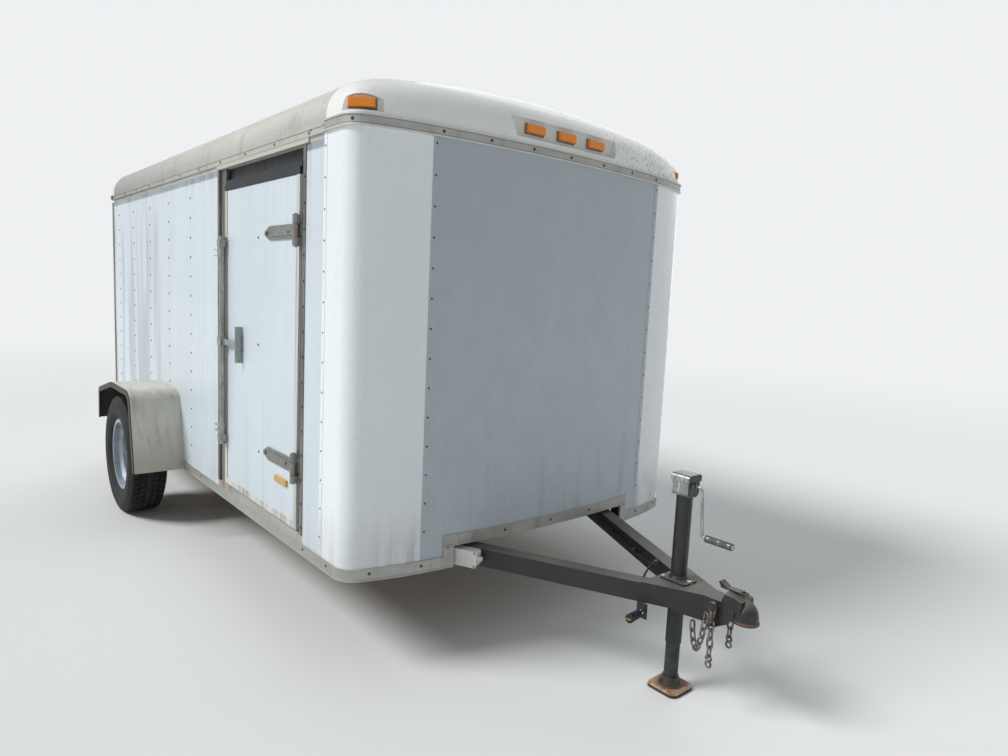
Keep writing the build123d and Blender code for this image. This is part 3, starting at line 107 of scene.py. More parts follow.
def colour(name, description, *rgb):
    """A colour property."""
    return FloatVectorProperty(
        name=name, description=description, default=tone(*rgb), subtype="COLOR", size=3, min=0, max=1
    )


def length(name, description, default):
    """A length property in metres."""
    return FloatProperty(
        name=name, description=description, default=default, unit="LENGTH", precision=4, min=0
    )


def count(name, description, default):
    """A whole number property."""
    return IntProperty(name=name, description=description, default=default, min=1)


def strength(name, description, default):
    """A light's strength property."""
    return FloatProperty(name=name, description=description, default=default, min=0)


class BodyLook(bpy.types.PropertyGroup):
    """Colours of the body's skins, trims and mouldings."""

    side: colour("Side skin", "Painted sheet of the side walls and doors", 212, 223, 230)
    front: colour("Front skin", "Painted sheet of the bowed front panel", 180, 189, 197)
    corner: colour("Corner skin", "Glossy sheet of the corner panels", 234, 240, 242)
    cap: colour("Moulded cap", "Moulded front and rear caps", 234, 236, 232)
    trim: colour("Trims", "Anodised strips round the body", 174, 174, 169)
    cove: colour("Roof rails", "Coved rails along the roof", 188, 188, 181)
    roof: colour("Roof sheet", "Painted roof sheet", 205, 208, 206)
    jamb: colour("Door frame", "Jambs, header and rear frame", 118, 115, 108)
    fender: colour("Fenders", "Fender skins", 206, 203, 193)
    liner: colour("Liner", "Plywood floor and wall liner", 172, 140, 100)
    dirt: colour("Dirt", "Road dirt and streaks", 120, 112, 98)


class SteelLook(bpy.types.PropertyGroup):
    """Colours of steel, rubber and plastic parts."""

    frame: colour("Frame paint", "Charcoal paint of the frame and tongue", 35, 36, 37)
    dust: colour("Dust", "Dust on upward faces", 116, 113, 105)
    rust: colour("Rust", "Rust on worn edges", 104, 66, 42)
    zinc: colour("Zinc plate", "Plated hinges, bars, jack and chains", 172, 177, 174)
    wheel: colour("Wheel", "Painted steel wheels", 168, 178, 188)
    rubber: colour("Rubber", "Tyres", 20, 21, 23)
    cable: colour("Cable", "Cable jacket and plug", 24, 24, 26)
    box: colour("Junction box", "Moulded junction box", 224, 225, 220)


class LampLook(bpy.types.PropertyGroup):
    """Colours of the lenses."""

    amber: colour("Amber lens", "Marker lamps at the front", 250, 132, 6)
    reflector: colour("Reflector", "Reflector on the side door", 208, 160, 62)
    red: colour("Red lens", "Markers and tail lamps", 176, 18, 20)
    base: colour("Lamp base", "Plate behind a lens", 120, 121, 120)


class FastenerSizes(bpy.types.PropertyGroup):
    """Screws, rivets and overlapping sheet edges."""

    head_radius: length("Head radius", "Radius of a screw's head", 0.0060)
    head_height: length("Head height", "Height of a screw's head", 0.0038)
    seam_pitch: length("Seam pitch", "Distance between rivets on the front seams", 0.107)
    wall_pitch: length("Wall pitch", "Distance between screws in a wall column", 0.101)
    column_step: length("Column step", "Distance between the walls' screw columns", 0.406)
    edge_width: length("Edge width", "Width of an overlapping sheet's edge", 0.026)
    edge_height: length("Edge height", "Thickness of an overlapping sheet's edge", 0.0012)


class TyreSizes(bpy.types.PropertyGroup):
    """Tyres and what is fixed to the wheels."""

    groove_depth: length("Groove depth", "Depth of the grooves round the tread", 0.007)
    groove_width: length("Groove width", "Width of the grooves round the tread", 0.008)
    blocks: count("Blocks", "Tread blocks round a tyre", 60)
    nut_radius: length("Nut radius", "Across-corner radius of a wheel nut", 0.0115)
    nut_circle: length("Nut circle", "Radius of the circle of wheel nuts", 0.05715)
    nuts: count("Nuts", "Nuts on one wheel", 5)


class ChainSizes(bpy.types.PropertyGroup):
    """Safety chains and the wiring."""

    wire: length("Chain wire", "Diameter of a link's wire", 0.0072)
    pitch: length("Chain pitch", "Inner length of a link", 0.031)
    link_width: length("Link width", "Outer width of a link", 0.026)
    cable_diameter: length("Cable diameter", "Outer diameter of the wiring", 0.008)
    cable_length: length("Cable length", "Real length of the wiring", 0.97)


class FittingSizes(bpy.types.PropertyGroup):
    """Welds, bolts and the crank's grip."""

    bead: length("Weld bead", "Half width of a weld bead", 0.004)
    bolt: length("Bolt head", "Across-corner radius of a hex bolt's head", 0.009)
    grip: length("Crank grip", "Radius of the sleeve on the jack's crank", 0.0128)


class StageLook(bpy.types.PropertyGroup):
    """Floor, background and lamps."""

    floor: colour("Floor", "Pale studio floor", 226, 227, 226)
    background: colour("Background", "Background behind the floor", 238, 240, 242)
    key_power: strength("Key light", "Strength of the soft key light", 2.6)
    fill_power: strength("Fill light", "Strength of the soft fill light", 0.9)
    ambient: strength("Ambient", "Strength of the world's light", 0.36)


GROUPS = {
    "trailer_body": BodyLook, "trailer_steel": SteelLook, "trailer_lamps": LampLook,
    "trailer_fasteners": FastenerSizes, "trailer_tyres": TyreSizes, "trailer_chains": ChainSizes,
    "trailer_fittings": FittingSizes, "trailer_stage": StageLook,
}


def sizes(group):
    """One group of the scene's trailer properties."""
    return getattr(bpy.context.scene, group)


# ---------------------------------------------------------------- shader expressions


def arithmetic(operation, swapped=False):
    """A method that adds a Math node of one kind, with its operands swapped or not."""

    def method(value, other=0.0):
        first, second = (other, value) if swapped else (value, other)
        return value.nodes.node("Math", {"operation": operation}, {0: first, 1: second})

    return method


class Value:
    """A shader socket that Python expressions can be written on."""

    def __init__(self, nodes, socket):
        self.nodes = nodes
        self.socket = socket

    __add__, __radd__ = arithmetic("ADD"), arithmetic("ADD", True)
    __sub__, __rsub__ = arithmetic("SUBTRACT"), arithmetic("SUBTRACT", True)
    __mul__, __rmul__ = arithmetic("MULTIPLY"), arithmetic("MULTIPLY", True)
    __pow__, __abs__ = arithmetic("POWER"), arithmetic("ABSOLUTE")
    either, pingpong = arithmetic("MAXIMUM"), arithmetic("PINGPONG")

    def above(self, low, high):
        """0 below low, 1 above high, and smooth between; low may be the larger of the two."""
        settings = {"interpolation_type": "SMOOTHSTEP"}
        return self.nodes.node("MapRange", settings, {"Value": self, "From Min": low, "From Max": high})


class Nodes:
    """A node tree, with a short way of adding nodes to it."""

    def __init__(self, tree):
        self.tree = tree

    def node(self, kind, settings, sockets, out=0):
        """Add a node: its settings first, then the values or links of its sockets."""
        made = self.tree.nodes.new("ShaderNode" + kind)
        for key, value in settings.items():
            setattr(made, key, value)
        for key, value in sockets.items():
            if isinstance(value, Value):
                self.tree.links.new(value.socket, made.inputs[key])
            else:
                made.inputs[key].default_value = value
        return Value(self, made.outputs[out])

    def end(self, node, value):
        """Link the surface of the output node."""
        self.tree.links.new(value.socket, self.tree.nodes[node].inputs["Surface"])


class Finish(Nodes):
    """A material, with the few ways of adding nodes that its finishes share."""

    INPUTS = {"colour": "Base Color", "rough": "Roughness", "metal": "Metallic", "coat": "Coat Weight"}

    def __init__(self, name, rough=0.5, metal=0.0, coat=0.0, specular=0.5):
        self.material = bpy.data.materials.new(name)
        self.material.use_nodes = True
        super().__init__(self.material.node_tree)
        self.shader = self.tree.nodes["Principled BSDF"]
        self.shader.inputs["Specular IOR Level"].default_value = specular
        self.set(rough=rough, metal=metal, coat=coat)
        self.places = self.node("TexCoord", {}, {}, "Object")
        self.x, self.y, self.z = self.split(self.places)
        self.nx, self.ny, self.nz = self.split(self.node("TexCoord", {}, {}, "Normal"))

    def split(self, vector):
        """The three parts of a vector."""
        parts = self.node("SeparateXYZ", {}, {0: vector}).socket.node
        return [Value(self, socket) for socket in parts.outputs]

    def stretched(self, scale):
        """The object's own coordinates, scaled on each axis or on all."""
        scale = (scale,) * 3 if isinstance(scale, (int, float)) else scale
        return self.node("VectorMath", {"operation": "MULTIPLY"}, {0: self.places, 1: scale})

    def noise(self, scale, detail, rough=0.55, twist=0.0):
        """Cloudy noise; scale is how many clouds to the metre."""
        return self.node("TexNoise", {}, {
            "Vector": self.stretched(scale), "Scale": 1.0, "Detail": detail, "Roughness": rough,
            "Distortion": twist,
        })

    def cells(self, scale):
        """Distance to the nearest of scattered points."""
        return self.node("TexVoronoi", {}, {"Vector": self.stretched(scale), "Scale": 1.0})

    def mix(self, mask, first, second):
        """Blend two colours by a mask."""
        sockets = {0: mask}
        for index, part in ((6, first), (7, second)):
            sockets[index] = part if isinstance(part, Value) else (*part[:3], 1.0)
        return self.node("Mix", {"data_type": "RGBA"}, sockets, 2)

    def start(self, colour, mask, high, low=1.0):
        """The first colour, shaded by a factor low, and by another where a mask is 1."""
        self.tint = self.mix(mask, shaded(colour, low), shaded(colour, high))

    def lay(self, mask, colour):
        """Lay a colour over what is there where a mask is 1."""
        self.tint = self.mix(mask, self.tint, colour)

    def inwards(self):
        """1 on the faces of a wall that look into the cargo room."""
        return (self.ny * self.y + self.nx * (self.x - LINER_MIDDLE)).above(0.0, -0.02)

    def plywood(self, scale):
        """Plywood liner with its grain."""
        liner = sizes("trailer_body").liner
        return self.mix(self.noise(scale, 4, 0.6, 0.6).above(0.3, 0.7), liner, shaded(liner, 0.72))

    def set(self, **values):
        """Set the shader's colour, rough, metal and coat, or link what was worked out for them."""
        for key, value in values.items():
            socket = self.shader.inputs[self.INPUTS[key]]
            if isinstance(value, Value):
                self.tree.links.new(value.socket, socket)
            else:
                socket.default_value = (*value[:3], 1.0) if key == "colour" else value

    def bumps(self, *layers):
        """Bumps that lie one on another, the lowest first: height, distance in metres and strength."""
        under = {}
        for height, distance, strong in layers:
            under["Normal"] = self.node("Bump", {}, {
                "Height": height, "Distance": distance, "Strength": strong, **under,
            })
        self.tree.links.new(under["Normal"].socket, self.shader.inputs["Normal"])


# ---------------------------------------------------------------- finishes


def side_finish():
    """Painted sheet: waves in the metal, streaks, road dirt low down, painted shade under the roof rail, on
    the door's head strip and on the rear buckles, and a liner on its inner face.
    """
    look = sizes("trailer_body")
    rough, coat, streaks = 0.3, 0.25, 0.42
    f = Finish("side_paint")
    across = abs(f.y)
    run = f.noise((26, 26, 0.9), 5, 0.6)
    fine = f.noise(85, 4, 0.7)
    f.start(look.side, f.noise((1.3, 1.3, 0.7), 4).above(0.3, 0.75), 0.9)
    f.lay(run.above(0.52, 0.78) * streaks, shaded(look.side, 0.66))
    f.lay(fine.above(0.55, 0.8) * 0.14, look.dirt)
    f.lay(f.z.above(0.63, 0.33) * (0.2 + run.above(0.35, 0.65) * 0.5) * 0.28, look.dirt)
    f.lay(f.z.above(1.72, 1.93) * run.above(0.48, 0.7) * 0.28 * (streaks + 0.3), look.dirt)
    # Painted shadow: a dark bluish band along the wall's top, where the roof rail's overhang casts its
    # shade.
    painted_rail_shadow = f.z.above(1.872, 1.884) * across.above(HALF_W - 0.002, HALF_W - 0.001)
    f.lay(painted_rail_shadow * (0.55 + run.above(0.35, 0.7) * 0.2), tone(66, 74, 82))
    rear = NOSE + REAR_X
    proud = across.above(HALF_W + 0.0004, HALF_W + 0.001).either(f.x.above(rear - 0.0004, rear - 0.001))
    f.lay(proud, f.mix(run.above(0.4, 0.7), tone(206, 205, 198), tone(150, 147, 138)))
    on_leaf = f.x.above(NOSE - 1.43, NOSE - 1.42) * f.x.above(NOSE - 0.455, NOSE - 0.465)
    # Painted shade: the door leaf's top strip made near black, as the shade that the header above casts on
    # it.
    shaded_head_strip = on_leaf * f.y.above(-0.8, -0.85) * f.z.above(LEAF_HEAD, LEAF_HEAD + 0.002)
    f.lay(shaded_head_strip, f.mix(run.above(0.4, 0.7), tone(40, 45, 49), tone(26, 29, 32)))
    buckled = f.noise((6.5, 0.0, 0.6), 2, 0.45, 0.25)
    rear_half = f.x.above(NOSE - 1.9, NOSE - 2.9) * across.above(0.85, 0.9) * f.z.above(1.88, 1.6)
    # Painted shade: the buckled sheet at the rear darkened in the pattern of the dents that the bump below
    # gives it.
    f.lay(buckled.above(0.46, 0.64) * rear_half * 0.62, shaded(look.side, 0.5))
    inner = f.inwards()
    f.lay(inner, f.plywood((5, 5, 60)))
    dull = inner.either(shaded_head_strip)
    f.set(colour=f.tint, rough=rough + fine * 0.12 + dull * 0.35, coat=coat * (1 - dull))
    wave = f.noise((3.4, 3.4, 0.9), 1, 0.3) * (f.x.above(0.4, -2.0) * 0.7 + 0.3)
    f.bumps((wave - buckled * rear_half * 0.8, 0.024, 1.0), (fine, 0.00018, 0.6))
    return f.material


def front_finish():
    """Front sheet: mottled, chalky paint with fine light specks; a liner on its inner face."""
    look = sizes("trailer_body")
    f = Finish("front_paint", coat=0.12)
    mottle = f.noise((9, 9, 7), 6, 0.65, 0.4)
    fine = f.noise((160, 160, 120), 4, 0.7)
    run = f.noise((22, 22, 1.2), 4)
    f.start(look.front, mottle.above(0.3, 0.72), 1.05, 0.95)
    f.lay(f.noise((1.6, 1.6, 1.1), 3).above(0.35, 0.7) * 0.25, shaded(look.front, 1.08))
    f.lay(fine.above(0.56, 0.70) * 0.45, tone(226, 231, 234))
    f.lay(fine.above(0.42, 0.32) * 0.35, shaded(look.front, 0.6))
    f.lay(f.z.above(0.9, 1.95) * 0.4, shaded(look.front, 0.74))
    f.lay(f.y.above(0.0, -0.6) * 0.15, shaded(look.front, 0.72))
    f.lay(run.above(0.5, 0.75) * f.z.above(0.95, 0.45) * 0.3, look.dirt)
    inner = f.nx.above(0.0, -0.2)
    f.lay(inner, f.plywood((5, 60, 5)))
    f.set(colour=f.tint, rough=0.36 + mottle * 0.18 + inner * 0.3)
    f.bumps((f.noise((2.0, 2.0, 1.1), 1, 0.3), 0.007, 1.0), (fine, 0.00022, 0.7))
    return f.material


def corner_finish():
    """Corner sheet: glossy white with a few small dents low down."""
    look = sizes("trailer_body")
    f = Finish("corner_paint", coat=0.35)
    run = f.noise((22, 22, 0.8), 3)
    f.start(look.corner, f.noise((2, 2, 1), 3).above(0.35, 0.75), 0.95)
    f.lay(run.above(0.55, 0.8) * 0.12, look.dirt)
    f.lay(f.z.above(0.62, 0.40) * (0.15 + run.above(0.4, 0.7) * 0.3), look.dirt)
    inner = f.inwards()
    f.lay(inner, look.liner)
    f.set(colour=f.tint, rough=0.2 + f.noise(12, 4, 0.6) * 0.14 + inner * 0.4)
    dents = f.cells((6, 6, 5)).above(0.3, 0.0) * f.z.above(1.0, 0.65)
    f.bumps((1 - dents, 0.006, 1.0), (f.noise((3, 3, 0.9), 1, 0.3), 0.008, 0.8))
    return f.material


def cap_finish():
    """Moulded cap: gloss gone soft, with dark dirt specks on the flank that faces the trees."""
    look = sizes("trailer_body")
    f = Finish("cap_gelcoat", coat=0.3)
    cloud = f.noise(2.5, 4)
    fleck = f.noise((48, 48, 40), 5, 0.75)
    away = f.y.above(-0.15, 0.75)
    f.start(look.cap, cloud.above(0.4, 0.75) * 0.4, 0.88)
    f.lay(fleck.above(0.52, 0.68) * (0.04 + away * 0.6), tone(92, 90, 82))
    f.lay(f.cells((70, 70, 60)).above(0.29, 0.15) * (0.12 + away * 0.8), tone(52, 50, 45))
    f.lay(f.nz.above(0.75, 1.0) * 0.2, look.dirt)
    pocket = f.x.above(NOSE - 0.030, NOSE - 0.0335) * abs(f.y).above(0.305, 0.295)
    pocket = pocket * f.x.above(NOSE - 0.06, NOSE - 0.045)
    f.lay(pocket * f.z.above(1.985, 1.992) * f.z.above(2.075, 2.068), tone(212, 213, 209))
    f.set(colour=f.tint, rough=0.26 + cloud * 0.2 + away * 0.12)
    f.bumps((f.noise(2.2, 2, 0.4), 0.004, 1.0), (fleck, 0.0002, 0.8))
    return f.material


def strip_finish(name, base, rough, metal, stain, fade=0.0, specular=0.5, edges=None, rust_from=None):
    """Anodised strip: drawn lines, stains and dull patches.

    fade darkens it to the rear, edges are the heights of its lips, each with a painted highlight and a
    painted shadow line just inside it, and rust_from is where along the body rust sets in.
    """
    f = Finish(name, specular=specular)
    patch = f.noise((2.2, 9, 16), 4, 0.6, 0.2)
    run = f.noise((18, 18, 3), 4)
    f.start(base, patch.above(0.3, 0.75), 0.84)
    f.lay(run.above(0.52, 0.74) * stain, sizes("trailer_body").dirt)
    # Painted highlight: the flat top and bottom faces made lighter.
    f.lay(abs(f.nz).above(0.6, 0.95) * 0.45, tone(222, 222, 218))
    f.lay(f.x.above(NOSE - 1.2, NOSE - 3.7) * fade, shaded(base, 0.45))
    lips = patch * 0.2
    if edges:
        low, high = edges
        lips = f.z.above(high - 0.0065, high - 0.0055).either(f.z.above(low + 0.0065, low + 0.0055))
        upper = f.z.above(high - 0.0095, high - 0.0085) * (1 - lips)
        lower = f.z.above(low + 0.0095, low + 0.0085) * (1 - lips)
        # Painted highlight on the lips, and a painted shadow line just inside each lip.
        f.lay(lips * 0.55, tone(226, 226, 222))
        f.lay(upper.either(lower) * 0.5, tone(70, 70, 68))
    if rust_from:
        rust = f.x.above(NOSE + rust_from, NOSE + rust_from - 0.22) * run.above(0.32, 0.55)
        f.lay(rust * 0.75, tone(148, 104, 72))
    f.set(colour=f.tint, rough=rough + patch * 0.22, metal=metal * (1 - run.above(0.5, 0.8) * 0.7))
    f.bumps((lips, 0.0010, 0.8), (f.noise((3, 3, 420), 3, 0.6), 0.0002, 0.7))
    return f.material


def frame_finish(name, rusty, lip=None):
    """Charcoal paint: dusty on top and chipped; lip is the height of a rusted lower edge."""
    look = sizes("trailer_steel")
    f = Finish(name)
    cloud = f.noise(6, 5, 0.65)
    fine = f.noise(240, 3, 0.6)
    f.start(look.frame, cloud.above(0.4, 0.7), 0.72)
    dusty = f.nz.above(0.4, 0.9) * (0.30 + cloud.above(0.3, 0.65) * 0.35)
    f.lay(dusty, look.dust)
    f.lay(fine.above(0.58, 0.72) * 0.16, look.dust)
    worn = f.noise(38, 6, 0.7).above(0.66 - rusty * 0.22, 0.72 - rusty * 0.16)
    f.lay(worn * (0.55 + rusty * 0.4), f.mix(fine, look.rust, shaded(look.rust, 0.5)))
    if lip:
        ahead = f.x.above(NOSE + LIP_X, NOSE + LIP_X + 0.02)
        band = f.z.above(lip + 0.026, lip + 0.018) * f.z.above(lip + 0.007, lip + 0.009) * ahead
        f.lay(band * (0.25 + cloud.above(0.35, 0.6) * 0.5), tone(98, 72, 55))
        f.lay(f.z.above(lip + 0.009, lip + 0.006) * 0.6, tone(104, 104, 101))
    f.set(colour=f.tint, rough=0.42 + dusty * 0.4 + worn * 0.3)
    f.bumps((worn, 0.0005, 0.8), (fine, 0.00025, 0.7))
    return f.material


def zinc_finish(name, rust_share, streaky=0.0, stains=(), shade=1.0, lid_and_shaded_front=False):
    """Zinc plate: spangled grey, chalky bloom and freckles of rust.

    stains are spots of rust and how strong each is, and the last flag gives a dull lid and a painted shade
    on the front.
    """
    look = sizes("trailer_steel")
    f = Finish(name)
    bloom = f.noise(22, 5, 0.65)
    fleck = f.noise(70, 6, 0.72)
    run = f.noise((90, 90, 9), 4)
    f.start(shaded(look.zinc, shade), f.cells(120).above(0.1, 0.75), 0.84)
    f.lay(f.noise(9, 4, 0.6).above(0.5, 0.72) * 0.55, tone(112, 108, 98))
    f.lay(bloom.above(0.5, 0.75) * 0.45, shaded(tone(206, 210, 208), shade))
    f.lay(run.above(0.5, 0.68) * streaky, tone(226, 228, 226))
    f.lay(run.above(0.45, 0.25) * streaky * 0.8, tone(70, 70, 68))
    if lid_and_shaded_front:
        f.lay(f.nz.above(0.6, 0.9) * 0.8, tone(104, 110, 106))
        # Painted shade: the forward-facing sides made near black.
        f.lay(f.nx.above(0.6, 0.9) * 0.88, tone(40, 42, 41))
    rusty = fleck.above(0.70 - rust_share * 0.3, 0.78 - rust_share * 0.26)
    f.lay(rusty * 0.85, f.mix(bloom, look.rust, shaded(look.rust, 0.55)))
    for spot, share in stains:
        away = f.node("VectorMath", {"operation": "DISTANCE"}, {0: f.places, 1: spot}, "Value")
        f.lay((away + fleck * 0.012).above(0.036, 0.024) * share, tone(150, 108, 80))
    metal = 0.7 * (1 - rusty) * (1 - bloom.above(0.5, 0.8))
    f.set(colour=f.tint, rough=0.30 + bloom * 0.22 + rusty * 0.3, metal=metal)
    f.bumps((fleck, 0.00025, 0.7), (bloom, 0.0004, 0.6))
    return f.material


def foot_finish():
    """The jack's leg and foot: dark leg, rusted plate with dried mud."""
    look = sizes("trailer_steel")
    f = Finish("foot_steel")
    cloud = f.noise(30, 5, 0.65)
    fine = f.noise(150, 5, 0.7)
    from_leg = ((f.x - (NOSE + JACK_X)) ** 2.0 + f.y ** 2.0) ** 0.5
    low = f.z.above(0.024, 0.015)
    f.tint = f.mix(fine.above(0.35, 0.65), tone(112, 82, 60), tone(150, 118, 88))
    f.lay(cloud.above(0.40, 0.60) * 0.85, tone(212, 190, 162))
    f.lay(from_leg.above(0.085, 0.045) * 0.7, tone(126, 84, 58))
    f.lay(f.nz.above(0.7, 0.3), tone(62, 53, 46))
    bare = f.mix(cloud.above(0.35, 0.7), shaded(look.zinc, 0.16), shaded(look.zinc, 0.07))
    bare = f.mix(f.z.above(0.062, 0.02) * fine.above(0.4, 0.7) * 0.8, bare, look.rust)
    f.set(colour=f.mix(low, bare, f.tint), rough=0.4 + low * 0.4, metal=0.7 * (1 - low))
    f.bumps((fine, 0.0005, 0.8))
    return f.material


def fender_finish():
    """Fender: warm grey skin with streaks and specks of dirt, a dark outer lip, and painted shade on its
    inside faces.
    """
    look = sizes("trailer_body")
    f = Finish("fender_paint")
    cloud = f.noise((5, 5, 3), 5, 0.65)
    fine = f.noise(140, 4, 0.7)
    f.start(look.fender, cloud.above(0.4, 0.7), 0.82)
    f.lay(f.noise((30, 30, 2.5), 4).above(0.5, 0.75) * 0.35, look.dirt)
    f.lay(fine.above(0.58, 0.72) * 0.25, look.dirt)
    f.lay(f.z.above(0.6, 0.36) * 0.35, look.dirt)
    # Painted shade: faces turned into the wheel arch made dark; the outer lip's dark edge is its own
    # colour.
    inside = (f.nz * (f.z - 0.30) + f.nx * (f.x - (NOSE + FENDER_MIDDLE))).above(0.0, -0.04)
    dark = abs(f.y).above(HALF_W + 0.2555, HALF_W + 0.2575).either(inside)
    f.lay(dark, f.mix(fine.above(0.3, 0.7), tone(52, 52, 50), tone(82, 80, 75)))
    f.set(colour=f.tint, rough=0.42 + cloud * 0.2 + dark * 0.2)
    f.bumps((f.noise(7, 2, 0.4), 0.0025, 1.0), (fine, 0.0002, 0.6))
    return f.material


def tyre_finish():
    """Tyre rubber: dull black, with dust in clouds and specks."""
    f = Finish("tyre_rubber", specular=0.35)
    cloud = f.noise(14, 5, 0.65)
    fine = f.noise(300, 3, 0.7)
    f.tint = f.mix(cloud.above(0.4, 0.72), sizes("trailer_steel").rubber, tone(44, 43, 41))
    f.lay(fine.above(0.6, 0.75) * 0.2, tone(88, 84, 76))
    f.set(colour=f.tint, rough=0.62 + cloud * 0.25)
    f.bumps((fine, 0.0003, 0.7))
    return f.material


def wheel_finish():
    """Painted steel wheel: silver-blue, with brake dust and freckles of rust."""
    look = sizes("trailer_steel")
    f = Finish("wheel_paint", metal=0.35, coat=0.2)
    cloud = f.noise(16, 5, 0.65)
    fleck = f.noise(90, 6, 0.72)
    f.start(look.wheel, cloud.above(0.38, 0.7), 0.62)
    f.lay(fleck.above(0.66, 0.74) * 0.8, look.rust)
    f.set(colour=f.tint, rough=0.3 + cloud * 0.28)
    f.bumps((fleck, 0.0002, 0.6))
    return f.material


def plain_finish(name, base, rough, grain, depth, metal=0.0, worn=None):
    """Moulded or cast surface with fine grain and slight mottling."""
    f = Finish(name, metal=metal)
    fine = f.noise(grain, 4, 0.7)
    cloud = f.noise(grain / 12, 4, 0.6)
    f.start(base, cloud.above(0.35, 0.7), 0.8)
    f.lay(fine.above(0.6, 0.75) * 0.35, worn or shaded(base, 1.5))
    f.set(colour=f.tint, rough=rough + cloud * 0.2)
    f.bumps((fine, depth, 0.7))
    return f.material


def plywood_finish():
    """Plywood deck: grain across the sheets, sheet joints and scuffs."""
    f = Finish("plywood", rough=0.7)
    grain = f.noise((120, 4, 40), 5, 0.65, 0.5)
    f.start(sizes("trailer_body").liner, grain.above(0.3, 0.7), 0.66)
    f.lay(f.noise(2.2, 4, 0.6).above(0.45, 0.75) * 0.4, tone(110, 92, 70))
    f.lay(f.x.pingpong(0.61).above(0.0025, 0.001), tone(40, 32, 24))
    f.set(colour=f.tint)
    f.bumps((grain, 0.0005, 0.7))
    return f.material


def lens_finish(name, base, amber):
    """Ribbed lens over a grey base, with painted light across its ribs and on its outer part: the base is
    what lies within LAMP_PLATE of its mounting face.
    """
    f = Finish(name, coat=0.15, specular=0.35)
    across = abs(f.y)
    if amber:
        corner_x, corner_y = corner_place()
        turn = CORNER_LAMP_TURN
        on_corner = across.above(0.5, 0.51)
        aside = (f.x - corner_x) * cos(turn) + (across - corner_y) * sin(turn) - 0.042
        off = (f.x - (NOSE - 0.034)) * (1 - on_corner) + aside * on_corner
        along = f.y * (1 - on_corner) + (f.x * sin(turn) - across * cos(turn)) * on_corner
    else:
        side_lamp = across.above(HALF_W + 0.0005, HALF_W + 0.001)
        off = ((NOSE + REAR_X) - f.x) * (1 - side_lamp) + (across - HALF_W) * side_lamp
        along = f.y + f.z * 0.2
    plate = off.above(LAMP_PLATE + 0.0006, LAMP_PLATE)
    rib = along.pingpong(0.002)
    # Painted light: each rib goes from a shaded to a lit copy of the lens colour across its width.
    f.tint = f.mix(rib * 380, shaded(base, 0.7), shaded(base, 1.12, 0.01))
    # Painted light: the lens made lighter away from its base, as light coming through it.
    f.lay((off * 60).above(0.3, 1.0) * 0.35, shaded(base, 1.5, 0.03))
    f.lay(plate, sizes("trailer_lamps").base)
    f.set(colour=f.tint, rough=0.14 + plate * 0.4)
    f.bumps((rib, 0.35, 0.25))
    return f.material


def reflector_finish():
    """Prismatic amber reflector, with a painted reflection on its prism cells."""
    f = Finish("reflector", rough=0.18, coat=0.5)
    prism = f.cells(420)
    # Painted reflection: each prism cell dark at its middle and bright at its rim.
    f.start(sizes("trailer_lamps").reflector, prism.above(0.1, 0.8), 1.15, 0.55)
    f.set(colour=f.tint)
    f.bumps((prism, 0.0006, 0.8))
    return f.material


def jamb_finish():
    """Door frame: dull olive-grey metal, streaked, with light keepers, a painted highlight on its flat top
    and bottom faces, and a near-black painted shade in the header's recess.
    """
    f = Finish("jamb_metal")
    patch = f.noise((16, 16, 3), 6, 0.7, 0.3)
    fine = f.noise(150, 5, 0.7)
    f.start(sizes("trailer_body").jamb, patch.above(0.35, 0.68), 1.3, 0.66)
    f.lay(fine.above(0.6, 0.72) * 0.5, sizes("trailer_steel").rust)
    # Painted highlight: the flat top and bottom faces made lighter.
    f.lay(abs(f.nz).above(0.7, 0.95) * 0.35, tone(196, 194, 186))
    f.lay(f.y.above(-HALF_W - 0.0003, -HALF_W - 0.001) * f.z.above(1.905, 1.909), tone(196, 192, 180))
    # Painted shade: the header's recess made near black and not metallic.
    recess = f.z.above(1.853, 1.857) * f.y.above(-HALF_W + 0.020, -HALF_W + 0.024)
    recess = recess * f.z.above(1.909, 1.905)
    f.lay(recess, tone(8, 8, 9))
    f.lay(f.y.above(-HALF_W - 0.005, -HALF_W - 0.008) * f.z.above(1.80, 1.79), tone(178, 180, 176))
    f.set(colour=f.tint, rough=0.4 + patch * 0.3, metal=0.35 * (1 - recess))
    f.bumps((patch, 0.0008, 0.6), (fine, 0.0003, 0.7))
    return f.material


def cable_finish(name):
    """Cable jacket: soft black plastic with scuffs and dust."""
    look = sizes("trailer_steel")
    f = Finish(name)
    scuff = f.noise(120, 5, 0.7)
    dust = f.noise(30, 4)
    f.tint = f.mix(scuff.above(0.55, 0.72) * 0.45, look.cable, tone(78, 76, 72))
    f.lay(dust.above(0.5, 0.75) * 0.3, look.dust)
    f.set(colour=f.tint, rough=0.38 + dust * 0.3)
    f.bumps((scuff, 0.00025, 0.7))
    return f.material


# ---------------------------------------------------------------- modelling by hand, in code


def at(x, y, z):
    """A point given from the nose, in the packed model's frame."""
    return Vector((NOSE + x, y, z))


def deselect():
    """Nothing selected, and out of edit mode."""
    if bpy.context.object and bpy.context.object.mode != "OBJECT":
        bpy.ops.object.mode_set(mode="OBJECT")
    bpy.ops.object.select_all(action="DESELECT")


def only(*pieces):
    """Select these pieces alone, the first one active."""
    deselect()
    for piece in pieces:
        piece.select_set(True)
    bpy.context.view_layer.objects.active = pieces[0]


def primitive(kind, **settings):
    """Add one of Blender's mesh primitives with nothing else selected."""
    deselect()
    getattr(bpy.ops.mesh, f"primitive_{kind}_add")(**settings)
    return bpy.context.object


def cylinder(vertices, radius, depth, middle=0.0):
    """An upright cylinder, with its middle at a height over the origin."""
    return primitive("cylinder", vertices=vertices, radius=radius, depth=depth, location=(0, 0, middle))


